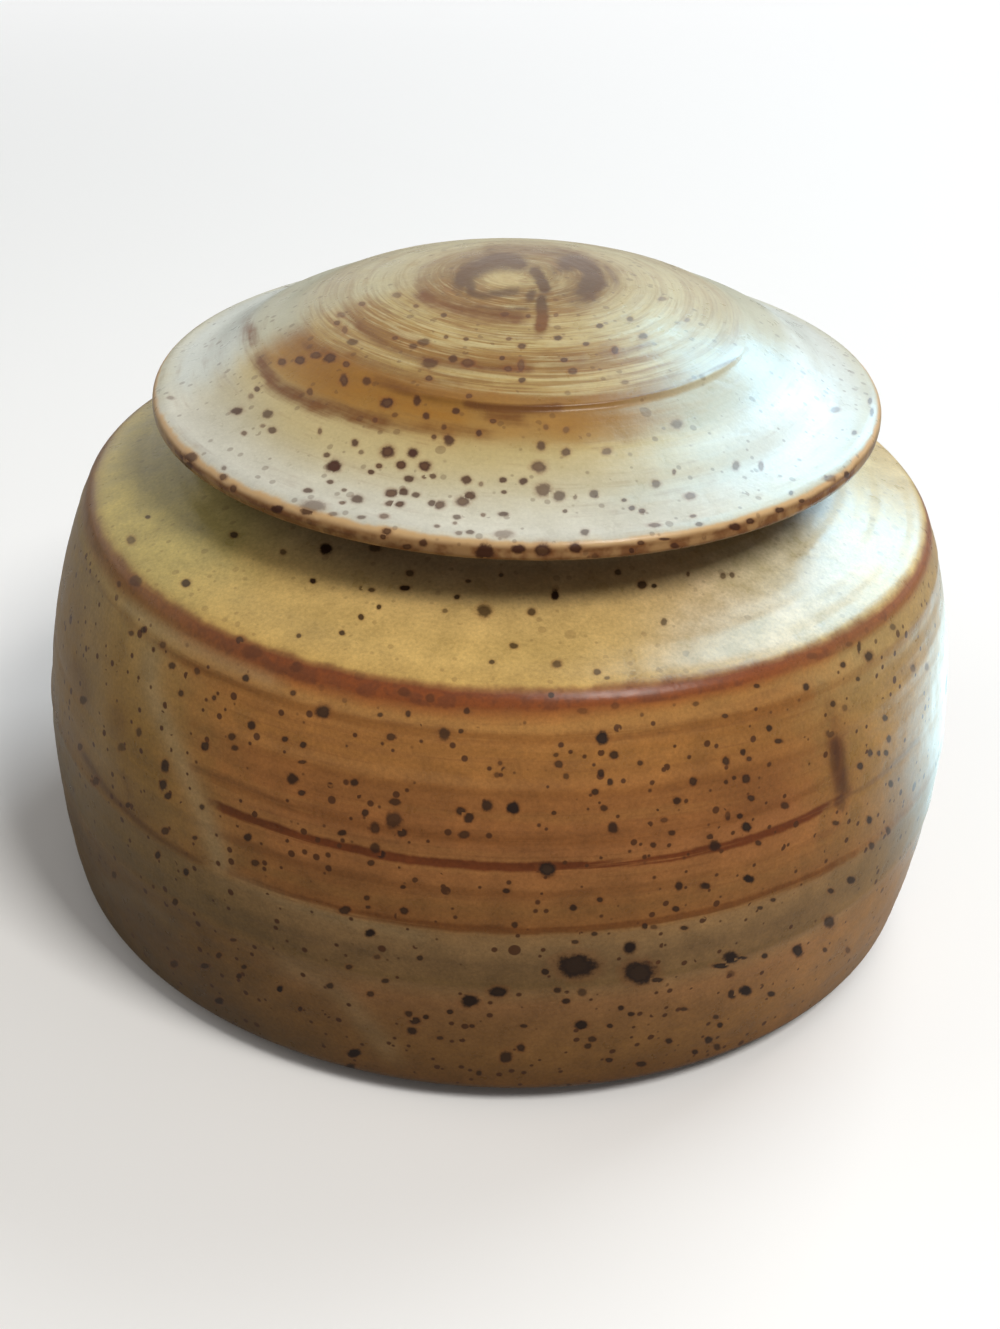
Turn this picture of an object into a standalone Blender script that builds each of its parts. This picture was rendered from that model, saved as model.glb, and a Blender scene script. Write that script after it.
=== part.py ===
"""Hand-thrown stoneware spice jar with a lift-off lid, built as two turned clay pieces.

Run with: blender --background --python part.py, or from Blender's text editor.
Units are metres, +Z is up, and the origin is on the jar's axis in the plane it stands on.

The jar body is one thrown pot: a trimmed foot ring, a full round wall, a sloping shoulder
and a short neck. The lid is a second pot: a wide plate with a low dome, and under it a
locating ring that drops into the neck. It is held by its weight alone.
Each piece is one closed profile, given as (radius, height) points and turned about +Z.
"""
import math

import bpy

TURN_STEPS = 48             # facets round each turned piece
OUTER_WALL_STEPS = 12       # facets up the wall outside
INNER_WALL_STEPS = 5        # facets up the wall inside
DOME_STEPS = 8              # facets from the lid's centre out to the ledge
HOLLOW_STEPS = 5            # facets from the ring in to the hollow's centre
CORNER_STEPS = 3            # facets round a rounded corner
MERGE = 0.00002             # merge distance at the poles
EASE_SHARE = 0.45           # most of a side that a rounded corner may take

# Jar body: wall and foot
BELLY_RADIUS = 0.0575       # widest radius of the wall
BELLY_HEIGHT = 0.0230       # height of the widest point above the table
SHOULDER_HEIGHT = 0.0528    # height of the shoulder's edge above the table
SHOULDER_INSET = 0.0060     # how far the shoulder's edge lies inside the belly
BASE_INSET = 0.0022         # how far the wall's lower edge lies inside the belly
FOOT_HEIGHT = 0.0020        # height of the trimmed foot ring
FOOT_INSET = 0.0060         # from the wall's lower edge in to the foot ring
FOOT_WIDTH = 0.0055         # width of the ring's flat face
UNDERCUT = 0.0006           # rise of the trimmed underside towards the wall
WALL = 0.0050               # thickness of the side wall
FLOOR = 0.0055              # thickness of the floor

# Jar body: shoulder and neck
SHOULDER_SLOPE = math.radians(20)
SHOULDER_WALL = 0.0045      # thickness of the sloping shoulder
NECK_BORE = 0.0295          # inside radius of the neck
NECK_WALL = 0.0040          # thickness of the neck
NECK_HEIGHT = 0.0070        # height of the neck above the shoulder's slope

# Lid: the plate
SEAT_GAP = 0.0003           # running gap between the lid and the neck's lip
SEAT_MARGIN = 0.0020        # flat seat past the neck's outside
LID_OVERHANG = 0.0102       # from the neck's outside out to the lid's rim
RIM_THICKNESS = 0.0022      # thickness of the lid at its rim
RIM_DROP = 0.0030           # how far the rim hangs below the seat
SEAT_THICKNESS = 0.0044     # thickness of the plate over the seat, at the groove

# Lid: the dome
GROOVE_INSET = 0.0016       # from the neck's outside in to the groove at the dome's foot
DOME_FOOT_WIDTH = 0.0046    # from the groove in to the ledge
DOME_FOOT_RISE = 0.0027     # height of the ledge above the groove
LEDGE_STEP = 0.0005         # height of the throwing ledge round the dome
DOME_RISE = 0.0053          # height of the dome above the ledge
DOME_WALL = 0.0042          # thickness of the dome

# Lid: the locating ring
RING_CLEARANCE = 0.0008     # gap between the ring and the neck's bore
RING_WALL = 0.0032          # thickness of the ring
RING_DROP = 0.0065          # how far the ring reaches below the seat

# Rounded edges, each given as the length that it takes off both sides of its corner
SHOULDER_EASE = 0.0016
BASE_EASE = 0.0014
FOOT_EASE = 0.0005
LIP_EASE = 0.0012
NECK_FOOT_EASE = 0.0018
INNER_SHOULDER_EASE = 0.0040
FLOOR_EASE = 0.0070
RIM_EASE = 0.0009
PLATE_EASE = 0.0022
RING_EASE = 0.0010
DOME_CORNER_EASE = 0.0030

# Sizes that follow from the ones above
shoulder_radius = BELLY_RADIUS - SHOULDER_INSET
base_radius = BELLY_RADIUS - BASE_INSET
foot_outer = base_radius - FOOT_INSET
foot_inner = foot_outer - FOOT_WIDTH
floor_height = FOOT_HEIGHT + FLOOR
neck_outer = NECK_BORE + NECK_WALL
neck_base = SHOULDER_HEIGHT + (shoulder_radius - neck_outer) * math.tan(SHOULDER_SLOPE)
neck_top = neck_base + NECK_HEIGHT
lid_radius = neck_outer + LID_OVERHANG
groove_radius = neck_outer - GROOVE_INSET
ledge_radius = groove_radius - DOME_FOOT_WIDTH
ring_outer = NECK_BORE - RING_CLEARANCE
ring_inner = ring_outer - RING_WALL
seat_outer = neck_outer + SEAT_MARGIN


def wall_radius(height):
    """Outer radius of the wall at a height: two circular arcs that meet, upright, at the belly."""
    if height > BELLY_HEIGHT:
        reach, inset = SHOULDER_HEIGHT - BELLY_HEIGHT, SHOULDER_INSET
    else:
        reach, inset = BELLY_HEIGHT - FOOT_HEIGHT, BASE_INSET
    arc_radius = (reach ** 2 + inset ** 2) / (2 * inset)
    offset = min(abs(height - BELLY_HEIGHT), reach)
    return BELLY_RADIUS - arc_radius + math.sqrt(arc_radius ** 2 - offset ** 2)


def wall_points(low, high, thickness, steps):
    """Points down the wall from the height high to the height low, set in by a thickness."""
    heights = [high + (low - high) * i / steps for i in range(steps + 1)]
    return [(wall_radius(height) - thickness, height) for height in heights]


def toward(start, goal, distance):
    """The point a distance from start on the way to goal, at most EASE_SHARE of the way."""
    length = math.dist(start, goal)
    share = min(distance / length, EASE_SHARE)
    return tuple(a + (b - a) * share for a, b in zip(start, goal))


def rounded(outline):
    """Round each corner of an outline of (radius, height, ease) points by a quadratic curve.

    The curve leaves one side at the ease's length before the corner and joins the other side
    as far after it. A corner whose ease is 0 stays sharp.
    """
    points = []
    last = len(outline) - 1
    for index, (radius, height, ease) in enumerate(outline):
        corner = (radius, height)
        if ease == 0 or index in (0, last):
            points.append(corner)
            continue
        start = toward(corner, outline[index - 1][:2], ease)
        end = toward(corner, outline[index + 1][:2], ease)
        for i in range(CORNER_STEPS + 1):
            t = i / CORNER_STEPS
            points.append(tuple(
                (1 - t) ** 2 * a + 2 * t * (1 - t) * c + t ** 2 * b
                for a, c, b in zip(start, corner, end)
            ))
    return points


def sharp(points):
    """The same points with no ease, as rounded() takes them."""
    return [(radius, height, 0) for radius, height in points]


def jar_profile():
    """The jar's section, from the floor's centre, over the neck's lip, to the base's centre."""
    slope = math.tan(SHOULDER_SLOPE)
    corner_radius = wall_radius(SHOULDER_HEIGHT - SHOULDER_WALL) - WALL
    corner_height = (
        SHOULDER_HEIGHT
        + (shoulder_radius - corner_radius) * slope
        - SHOULDER_WALL / math.cos(SHOULDER_SLOPE)
    )
    bore_height = corner_height + (corner_radius - NECK_BORE) * slope
    longest = EASE_SHARE * (corner_height - floor_height)
    inner_low = floor_height + min(FLOOR_EASE / EASE_SHARE, longest)
    inner_high = corner_height - min(INNER_SHOULDER_EASE / EASE_SHARE, longest)
    inner_wall = wall_points(inner_low, inner_high, WALL, INNER_WALL_STEPS)[::-1]
    outer_low = FOOT_HEIGHT + BASE_EASE / EASE_SHARE
    outer_high = SHOULDER_HEIGHT - SHOULDER_EASE / EASE_SHARE
    inside = [
        (0, floor_height, 0),
        (wall_radius(floor_height) - WALL, floor_height, FLOOR_EASE),
        *sharp(inner_wall),
        (corner_radius, corner_height, INNER_SHOULDER_EASE),
        (NECK_BORE, bore_height, NECK_FOOT_EASE),
        (NECK_BORE, neck_top, LIP_EASE),
    ]
    outside = [
        (neck_outer, neck_top, LIP_EASE),
        (neck_outer, neck_base, NECK_FOOT_EASE),
        (shoulder_radius, SHOULDER_HEIGHT, SHOULDER_EASE),
        *sharp(wall_points(outer_low, outer_high, 0, OUTER_WALL_STEPS)),
        (base_radius, FOOT_HEIGHT, BASE_EASE),
        (foot_outer, FOOT_HEIGHT - UNDERCUT, FOOT_EASE),
        (foot_outer, 0, FOOT_EASE),
        (foot_inner, 0, FOOT_EASE),
        (foot_inner, FOOT_HEIGHT, FOOT_EASE),
        (0, FOOT_HEIGHT, 0),
    ]
    return rounded(inside + outside)


def dome_points(edge_radius, edge_height, rise, steps):
    """Points of a dome from the axis out to its edge: a parabola that peaks on the axis."""
    shares = [i / steps for i in range(steps + 1)]
    return [(edge_radius * share, edge_height + rise * (1 - share ** 2)) for share in shares]


def lid_profile():
    """The lid's section, from the top's centre, round the rim, to the hollow's centre.

    Heights are measured from the lid's seat, the flat ring that rests on the neck.
    """
    groove = SEAT_THICKNESS
    ledge = groove + DOME_FOOT_RISE
    crown = ledge + LEDGE_STEP
    rim_top = RIM_THICKNESS - RIM_DROP
    hollow_edge = crown - DOME_WALL
    top = [
        *sharp(dome_points(ledge_radius, crown, DOME_RISE, DOME_STEPS)),
        (ledge_radius, ledge, 0),
        (groove_radius, groove, PLATE_EASE),
        (lid_radius, rim_top, RIM_EASE),
    ]
    under = [
        (lid_radius, -RIM_DROP, RIM_EASE),
        (seat_outer, 0, PLATE_EASE),
        (ring_outer, 0, 0),
        (ring_outer, -RING_DROP, RING_EASE),
        (ring_inner, -RING_DROP, RING_EASE),
        (ring_inner, hollow_edge, DOME_CORNER_EASE),
        *sharp(dome_points(ring_inner, hollow_edge, DOME_RISE, HOLLOW_STEPS)[-2::-1]),
    ]
    return rounded(top + under)


def glaze(name, colour, roughness):
    """A glazed stoneware material of one colour."""
    material = bpy.data.materials.new(name)
    material.use_nodes = True
    shader = material.node_tree.nodes["Principled BSDF"]
    shader.inputs["Base Color"].default_value = (*colour, 1)
    shader.inputs["Roughness"].default_value = roughness
    shader.inputs["Metallic"].default_value = 0
    return material


def turned(name, profile, material, collection, parent, height):
    """A piece turned about +Z from its profile, standing at a height on its parent's axis."""
    mesh = bpy.data.meshes.new(name)
    points = [(radius, 0, z) for radius, z in profile]
    edges = [(i, i + 1) for i in range(len(points) - 1)]
    mesh.from_pydata(points, edges, [])
    mesh.materials.append(material)
    piece = bpy.data.objects.new(name, mesh)
    collection.objects.link(piece)
    piece.parent = parent
    piece.location.z = height
    screw = piece.modifiers.new("Turn", "SCREW")
    screw.axis = "Z"
    screw.steps = TURN_STEPS
    screw.render_steps = TURN_STEPS
    screw.use_merge_vertices = True
    screw.merge_threshold = MERGE
    screw.use_smooth_shade = True
    return piece


def build():
    """Clear the scene, then turn the jar body and its lid on one axis."""
    for leftover in list(bpy.data.objects):
        bpy.data.objects.remove(leftover)
    collection = bpy.data.collections.new("spice_jar")
    bpy.context.scene.collection.children.link(collection)
    axis = bpy.data.objects.new("jar_axis", None)
    collection.objects.link(axis)
    ochre = glaze("ochre_glaze", (0.34, 0.20, 0.09), 0.35)
    cream = glaze("cream_glaze", (0.56, 0.50, 0.37), 0.30)
    turned("jar_body", jar_profile(), ochre, collection, axis, 0)
    turned("lid", lid_profile(), cream, collection, axis, neck_top + SEAT_GAP)


build()
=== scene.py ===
"""Glazes and lights the spice jar: one thrown pot and its lid, turned on the same axis.

Both pieces are surfaces of revolution, worked out as whole arrays from a section of
(radius, height) points, with the potter's small unevenness added along the normal.
The glaze is painted by nodes, which read the place on the section and the spots laid on each piece.
Lengths are in metres unless a name or comment says millimetres.
"""
import math

import bpy
import numpy as np
from mathutils import Matrix, Vector


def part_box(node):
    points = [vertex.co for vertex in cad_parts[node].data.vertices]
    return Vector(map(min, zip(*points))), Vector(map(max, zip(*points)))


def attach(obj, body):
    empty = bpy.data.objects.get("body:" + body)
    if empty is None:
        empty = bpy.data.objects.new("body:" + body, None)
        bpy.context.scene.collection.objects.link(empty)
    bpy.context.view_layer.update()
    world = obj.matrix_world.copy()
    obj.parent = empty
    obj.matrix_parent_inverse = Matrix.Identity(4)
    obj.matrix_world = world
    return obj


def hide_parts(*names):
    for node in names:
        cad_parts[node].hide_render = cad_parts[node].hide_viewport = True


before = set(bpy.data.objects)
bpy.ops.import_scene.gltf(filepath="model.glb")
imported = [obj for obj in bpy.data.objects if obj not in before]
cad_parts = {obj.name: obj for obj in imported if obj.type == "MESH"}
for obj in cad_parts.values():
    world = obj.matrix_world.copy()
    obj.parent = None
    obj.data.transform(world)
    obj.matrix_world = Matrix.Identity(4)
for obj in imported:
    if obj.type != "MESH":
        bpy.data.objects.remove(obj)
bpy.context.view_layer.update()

MM = 0.001
SEED = 7

# The photograph's frame and camera
PHOTO_WIDTH = 1000
PHOTO_HEIGHT = 1329
FOCAL_PIXELS = 2000
CAMERA_DISTANCE = 0.2630
CAMERA_ELEVATION = math.radians(30.76)
CAMERA_ROLL = math.radians(3.46)
CAMERA_TARGET = Vector((0, 0, 0.0256))
SENSOR_WIDTH = 36

# The jar's section, from the frame where the frame has it
jar_low, jar_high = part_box("jar_body")
lid_low, lid_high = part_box("lid")
BELLY_RADIUS = jar_high[0]
BELLY_HEIGHT = 0.0230
NECK_TOP = jar_high[2]
SHOULDER_HEIGHT = 0.0528
SHOULDER_INSET = 0.0060
SHOULDER_WALL = 0.0045
SHOULDER_SLOPE = math.radians(20)
BASE_INSET = 0.0022
FOOT_HEIGHT = 0.0020
FOOT_INSET = 0.0060
FOOT_WIDTH = 0.0055
UNDERCUT = 0.0006
WALL = 0.0050
FLOOR = 0.0055
NECK_BORE = 0.0295
NECK_WALL = 0.0040

# The lid's section; heights are above its seat
LID_RADIUS = lid_high[0]
SEAT_HEIGHT = NECK_TOP + 0.0003
SEAT_MARGIN = 0.0020
SEAT_THICKNESS = 0.0044
RIM_THICKNESS = 0.0022
RIM_DROP = 0.0030
GROOVE_INSET = 0.0016
DOME_FOOT_WIDTH = 0.0046
DOME_FOOT_RISE = 0.0027
LEDGE_STEP = 0.0005
DOME_RISE = 0.0053
DOME_WALL = 0.0042
RING_CLEARANCE = 0.0008
RING_WALL = 0.0032
RING_DROP = 0.0065
LID_LEAN = 0.027

# How finely the surfaces are cut: columns round the axis, rows this far apart where they show
# and where they don't, and how many rows past the lip and the rim are still fine
COLUMNS = 344
JAR_FINE = 0.00042
JAR_COARSE = 0.0025
LID_FINE = 0.62 * JAR_FINE
LID_COARSE = 0.0011
PAST_LIP = 12
PAST_RIM = 14
EASE_STEPS = 10
EASE_SHARE = 0.45

shoulder_radius = BELLY_RADIUS - SHOULDER_INSET
neck_outer = NECK_BORE + NECK_WALL
neck_base = SHOULDER_HEIGHT + (shoulder_radius - neck_outer) * math.tan(SHOULDER_SLOPE)
groove_radius = neck_outer - GROOVE_INSET
ledge_radius = groove_radius - DOME_FOOT_WIDTH
ring_outer = NECK_BORE - RING_CLEARANCE
ring_inner = ring_outer - RING_WALL
seat_outer = neck_outer + SEAT_MARGIN
LEDGE_RADIUS_MM = ledge_radius / MM


# Sections

def wall_radius(height):
    """The wall's outer radius: two circular arcs that meet, upright, at the belly."""
    above = height > BELLY_HEIGHT
    reach = np.where(above, SHOULDER_HEIGHT - BELLY_HEIGHT, BELLY_HEIGHT - FOOT_HEIGHT)
    inset = np.where(above, SHOULDER_INSET, BASE_INSET)
    arc = (reach ** 2 + inset ** 2) / (2 * inset)
    offset = np.minimum(np.abs(height - BELLY_HEIGHT), reach)
    return BELLY_RADIUS - arc + np.sqrt(arc ** 2 - offset ** 2)


def wall_run(start, end, thickness, steps=60):
    """Outline points along the wall from one height to another, set in by a thickness."""
    heights = np.linspace(start, end, steps)
    return [(r - thickness, z, 0) for r, z in zip(wall_radius(heights), heights)]


def dome_run(edge_radius, edge_height, rise, steps=40):
    """Outline points of a dome from the axis to its edge: a parabola that peaks on the axis."""
    shares = np.linspace(0, 1, steps)
    return [(edge_radius * t, edge_height + rise * (1 - t * t), 0) for t in shares]


def eased(outline):
    """An outline of (radius, height, ease) points with each corner rounded.

    A corner becomes the quadratic curve that leaves one side an ease before the corner
    and joins the other side an ease after it.
    """
    corners = np.array(outline, float)
    points = [corners[:1, :2]]
    steps = np.linspace(0, 1, EASE_STEPS)[:, None]
    for before, corner, after in zip(corners[:-2], corners[1:-1], corners[2:]):
        here = corner[:2]
        if corner[2] == 0:
            points.append(here[None])
            continue
        ways = [side[:2] - here for side in (before, after)]
        start, end = (
            here + way * min(corner[2] / np.linalg.norm(way), EASE_SHARE) for way in ways
        )
        points.append((1 - steps) ** 2 * start + 2 * steps * (1 - steps) * here + steps ** 2 * end)
    points.append(corners[-1:, :2])
    return np.concatenate(points)


def respaced(points, spacing):
    """Points along the same line, each one local spacing from the last.

    spacing gives the step wanted at each of the old points. The new points lie at even
    steps of the integral of length over spacing.
    """
    step = np.linalg.norm(np.diff(points, axis=0), axis=1)
    effort = np.concatenate([[0], np.cumsum(step * 2 / (spacing[1:] + spacing[:-1]))])
    even = np.linspace(0, effort[-1], round(effort[-1]) + 1)
    return np.stack([np.interp(even, effort, points[:, k]) for k in (0, 1)], axis=1)


def halved(points, longest):
    """The same line with points added so that no side is longer than longest."""
    length = np.concatenate([[0], np.cumsum(np.linalg.norm(np.diff(points, axis=0), axis=1))])
    extra = np.arange(0, length[-1], longest)
    at = np.union1d(length, extra)
    return np.stack([np.interp(at, length, points[:, k]) for k in (0, 1)], axis=1)


def lip_row(points):
    """The row of the lip's highest point, and of its innermost where it is level."""
    return int(np.argmax(points[:, 1] - 0.001 * points[:, 0]))


def jar_section():
    """The jar from the inner floor's centre, over the lip, to the underside's centre."""
    slope = math.tan(SHOULDER_SLOPE)
    floor_height = FOOT_HEIGHT + FLOOR
    base_radius = BELLY_RADIUS - BASE_INSET
    foot_outer = base_radius - FOOT_INSET
    foot_inner = foot_outer - FOOT_WIDTH
    corner_radius = float(wall_radius(SHOULDER_HEIGHT - SHOULDER_WALL)) - WALL
    corner_height = (
        SHOULDER_HEIGHT
        + (shoulder_radius - corner_radius) * slope
        - SHOULDER_WALL / math.cos(SHOULDER_SLOPE)
    )
    # Each corner is its radius, height and ease. The wall's runs stop short of the corners,
    # so that these have room to ease.
    outline = [
        (0, floor_height, 0),
        (float(wall_radius(floor_height)) - WALL, floor_height, 0.0070),
        *wall_run(floor_height + 0.0155, corner_height - 0.0089, WALL),
        (corner_radius, corner_height, 0.0040),
        (NECK_BORE, corner_height + (corner_radius - NECK_BORE) * slope, 0.0018),
        (NECK_BORE, NECK_TOP, 0.0012),
        (neck_outer, NECK_TOP, 0.0012),
        (neck_outer, neck_base, 0.0018),
        (shoulder_radius, SHOULDER_HEIGHT, 0.0016),
        *wall_run(SHOULDER_HEIGHT - 0.0035, FOOT_HEIGHT + 0.0031, 0),
        (base_radius, FOOT_HEIGHT, 0.0014),
        (foot_outer, FOOT_HEIGHT - UNDERCUT, 0.0005),
        (foot_outer, 0, 0.0005),
        (foot_inner, 0, 0.0005),
        (foot_inner, FOOT_HEIGHT, 0.0005),
        (0, FOOT_HEIGHT, 0),
    ]
    points = halved(eased(outline), JAR_FINE)
    inside = np.arange(len(points)) < lip_row(points) - PAST_LIP
    underneath = (points[:, 1] < FOOT_HEIGHT + 0.0004) & (points[:, 0] < 0.047)
    return respaced(points, np.where(inside | underneath, JAR_COARSE, JAR_FINE))


def lid_section():
    """The lid from the dome's peak, round the rim, to the hollow's centre."""
    groove = SEAT_THICKNESS
    ledge = groove + DOME_FOOT_RISE
    crown = ledge + LEDGE_STEP
    hollow = crown - DOME_WALL
    outline = [
        *dome_run(ledge_radius, crown, DOME_RISE),
        (ledge_radius + 0.0001, ledge, 0.0003),
        (groove_radius, groove, 0.0030),
        (LID_RADIUS, RIM_THICKNESS - RIM_DROP, 0.0008),
        (LID_RADIUS, -RIM_DROP, 0.0011),
        (seat_outer, 0, 0.0022),
        (ring_outer, 0, 0.0003),
        (ring_outer, -RING_DROP, 0.0010),
        (ring_inner, -RING_DROP, 0.0010),
        (ring_inner, hollow, 0.0030),
        *dome_run(ring_inner, hollow, DOME_RISE)[-6::-1],
    ]
    points = halved(eased(outline), JAR_FINE)
    hidden = np.arange(len(points)) > np.argmax(points[:, 0]) + PAST_RIM
    return respaced(points, np.where(hidden, LID_COARSE, LID_FINE)) + [0, SEAT_HEIGHT]


# Surfaces

def turned_grid(section):
    """A section turned about +Z: positions and outward normals, one row a section point.

    A normal is the section's own, at right angles to its central difference, turned with it.
    """
    turn = np.arange(COLUMNS) * 2 * np.pi / COLUMNS + np.pi / 2
    way = np.gradient(section, axis=0)
    way /= np.linalg.norm(way, axis=1)[:, None]
    around = np.stack([np.cos(turn), np.sin(turn)], axis=1)
    radius, height = section[:, 0], section[:, 1]

    def spun(r, z):
        flat = r[:, None, None] * around[None]
        return np.concatenate([flat, np.broadcast_to(z[:, None, None], (*flat.shape[:2], 1))], 2)

    return turn, spun(radius, height), spun(-way[:, 1], way[:, 0]), spun(way[:, 0], way[:, 1])


def placed(name, data):
    """A new object in the scene, with the data given."""
    made = bpy.data.objects.new(name, data)
    bpy.context.scene.collection.objects.link(made)
    return made


def add_map(mesh, title, values):
    """A UV map from a pair of values for each corner of a face."""
    layer = mesh.uv_layers.new(name=title)
    layer.uv.foreach_set("vector", values.astype(np.float32).ravel())


def read_all(items, key, kind, width=1):
    """One property of all the vertices, corners or faces of a mesh."""
    values = np.empty(len(items) * width, kind)
    items.foreach_get(key, values)
    return values


def mesh_from_grid(name, places, maps):
    """A closed mesh from rows of places whose first and last rows lie on the axis.

    Each pole is one point. maps gives {UV map name: (rows, COLUMNS + 1, 2) values}, whose last
    column is the first one come round again.
    """
    rows = len(places)
    inner = places[1:-1].reshape(-1, 3)
    points = np.concatenate([places[:1, 0], inner, places[-1:, 0]])
    row, column = np.meshgrid(np.arange(rows), np.arange(COLUMNS + 1), indexing="ij")
    index = 1 + (row - 1) * COLUMNS + column % COLUMNS
    index[0] = 0
    index[-1] = len(points) - 1

    def faces(*corners):
        """Rows, columns and points of the corners of faces, each corner a slice of the grid."""
        return [np.stack([grid[c].ravel() for c in corners], axis=1).ravel()
                for grid in (row, column, index)]

    left, right = slice(0, -1), slice(1, None)
    above, below = slice(1, -2), slice(2, -1)
    quads = faces((above, left), (below, left), (below, right), (above, right))
    first = faces((slice(0, 1), left), (slice(1, 2), left), (slice(1, 2), right))
    last = faces((slice(-2, -1), left), (slice(-1, None), left), (slice(-2, -1), right))
    loops = [np.concatenate(parts) for parts in zip(quads, first, last)]
    sizes = np.concatenate([np.full(len(quads[0]) // 4, 4), np.full(2 * COLUMNS, 3)])
    mesh = bpy.data.meshes.new(name)
    mesh.vertices.add(len(points))
    mesh.vertices.foreach_set("co", points.astype(np.float32).ravel())
    mesh.loops.add(len(loops[2]))
    mesh.loops.foreach_set("vertex_index", loops[2].astype(np.int32))
    mesh.polygons.add(len(sizes))
    starts = np.concatenate([[0], np.cumsum(sizes)[:-1]])
    mesh.polygons.foreach_set("loop_start", starts.astype(np.int32))
    mesh.update(calc_edges=True)
    mesh.validate()
    mesh.shade_smooth()
    for title, values in maps.items():
        add_map(mesh, title, values[loops[0], loops[1]])
    return placed(name, mesh)


def set_numbers(piece, title, values):
    """A number on each point of a turned piece, from rows of them like its places."""
    flat = np.concatenate([values[:1, 0], values[1:-1].ravel(), values[-1:, 0]])
    attribute = piece.data.attributes.new(title, "FLOAT", "POINT")
    attribute.data.foreach_set("value", flat.astype(np.float32))


def waves(turn, *terms):
    """A sum of sines round the axis, each term (times round, size, phase)."""
    return sum(size * np.sin(times * turn + phase) for times, size, phase in terms)


def bell(x, centre, width):
    """A smooth bump of height 1: the exponential of minus the squared distance in widths."""
    return np.exp(-(((x - centre) / width) ** 2))


def step(low, high, x):
    """A smooth step from 0 at low to 1 at high: 3 t squared minus 2 t cubed."""
    t = np.clip((x - low) / (high - low), 0, 1)
    return t * t * (3 - 2 * t)


# Camera

def photo_camera():
    """The camera that took the photograph, from its height above the jar and its roll."""
    back = Vector((0, -math.cos(CAMERA_ELEVATION), math.sin(CAMERA_ELEVATION)))
    level = Vector((1, 0, 0))
    above = back.cross(level)
    right = math.cos(CAMERA_ROLL) * level + math.sin(CAMERA_ROLL) * above
    up = back.cross(right)
    matrix = Matrix((right, up, back)).transposed().to_4x4()
    matrix.translation = CAMERA_TARGET + CAMERA_DISTANCE * back
    data = bpy.data.cameras.new("photo_camera")
    data.sensor_width = SENSOR_WIDTH
    data.lens = SENSOR_WIDTH * FOCAL_PIXELS / PHOTO_HEIGHT
    data.clip_start = 0.01
    data.clip_end = 20
    camera = placed("photo_camera", data)
    camera.matrix_world = matrix
    bpy.context.scene.camera = camera
    return matrix


camera_matrix = photo_camera()


def to_pixels(places):
    """Pixel x and y, in the photograph's frame, of places in space."""
    local = (places - np.array(camera_matrix.translation)) @ np.array(camera_matrix.to_3x3())
    depth = -local[..., 2]
    x = PHOTO_WIDTH / 2 + FOCAL_PIXELS * local[..., 0] / depth
    y = PHOTO_HEIGHT / 2 - FOCAL_PIXELS * local[..., 1] / depth
    return x, y


# Thrown pieces

class Thrown:
    """A turned piece while it is worked on: arrays with a row a section point, a column a turn."""

    def __init__(self, name, section):
        self.name = name
        self.turn, self.places, self.normals, self.downs = turned_grid(section)
        self.arounds = np.stack([-np.sin(self.turn), np.cos(self.turn), 0 * self.turn], axis=1)
        self.radius, self.height = (section / MM).T
        side = np.hypot(*np.diff(section, axis=0).T)
        self.run = np.concatenate([[0], np.cumsum(side)]) / MM
        self.side = (np.degrees(self.turn) + 90 + 180) % 360 - 180
        self.numbers = {}

    def press(self, relief):
        """Moves each place along its normal by so many millimetres."""
        self.places = self.places + self.normals * (relief * MM)[..., None]

    def look(self):
        """Works out where each place is in the photograph, and which places face the camera."""
        self.x, self.y = to_pixels(self.places)
        towards = np.array(camera_matrix.translation) - self.places
        towards /= np.linalg.norm(towards, axis=2)[..., None]
        self.facing = np.einsum("ijk,ijk->ij", towards, self.normals)

    def seen(self, rows):
        """The places on the given rows that face the camera, and aren't all but edge-on."""
        return (self.facing > 0.03) & rows[:, None]

    def ways(self, row, column):
        """The two ways along the surface at a place: round the axis, and down the section."""
        return np.stack([self.arounds[column], self.downs[row, column]])

    def piece(self):
        """The finished mesh, with its numbers and its own unwrapped map."""
        share = (self.run - self.run[0]) / (self.run[-1] - self.run[0])
        columns = np.arange(COLUMNS + 1) / COLUMNS
        unwrap = np.stack(np.broadcast_arrays(columns[None], share[:, None]), axis=2)
        made = mesh_from_grid(self.name, self.places, {"OFBake": unwrap})
        for title, values in self.numbers.items():
            set_numbers(made, title, np.broadcast_to(values, self.places.shape[:2]))
        return made


def corner_cut(path):
    """A path with its corners cut twice: each side keeps its middle half."""
    points = np.array(path, float)
    for _ in range(2):
        before, after = points[:-1], points[1:]
        middle = np.stack([0.75 * before + 0.25 * after, 0.25 * before + 0.75 * after], axis=1)
        points = np.concatenate([points[:1], middle.reshape(-1, 2), points[-1:]])
    return points


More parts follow.
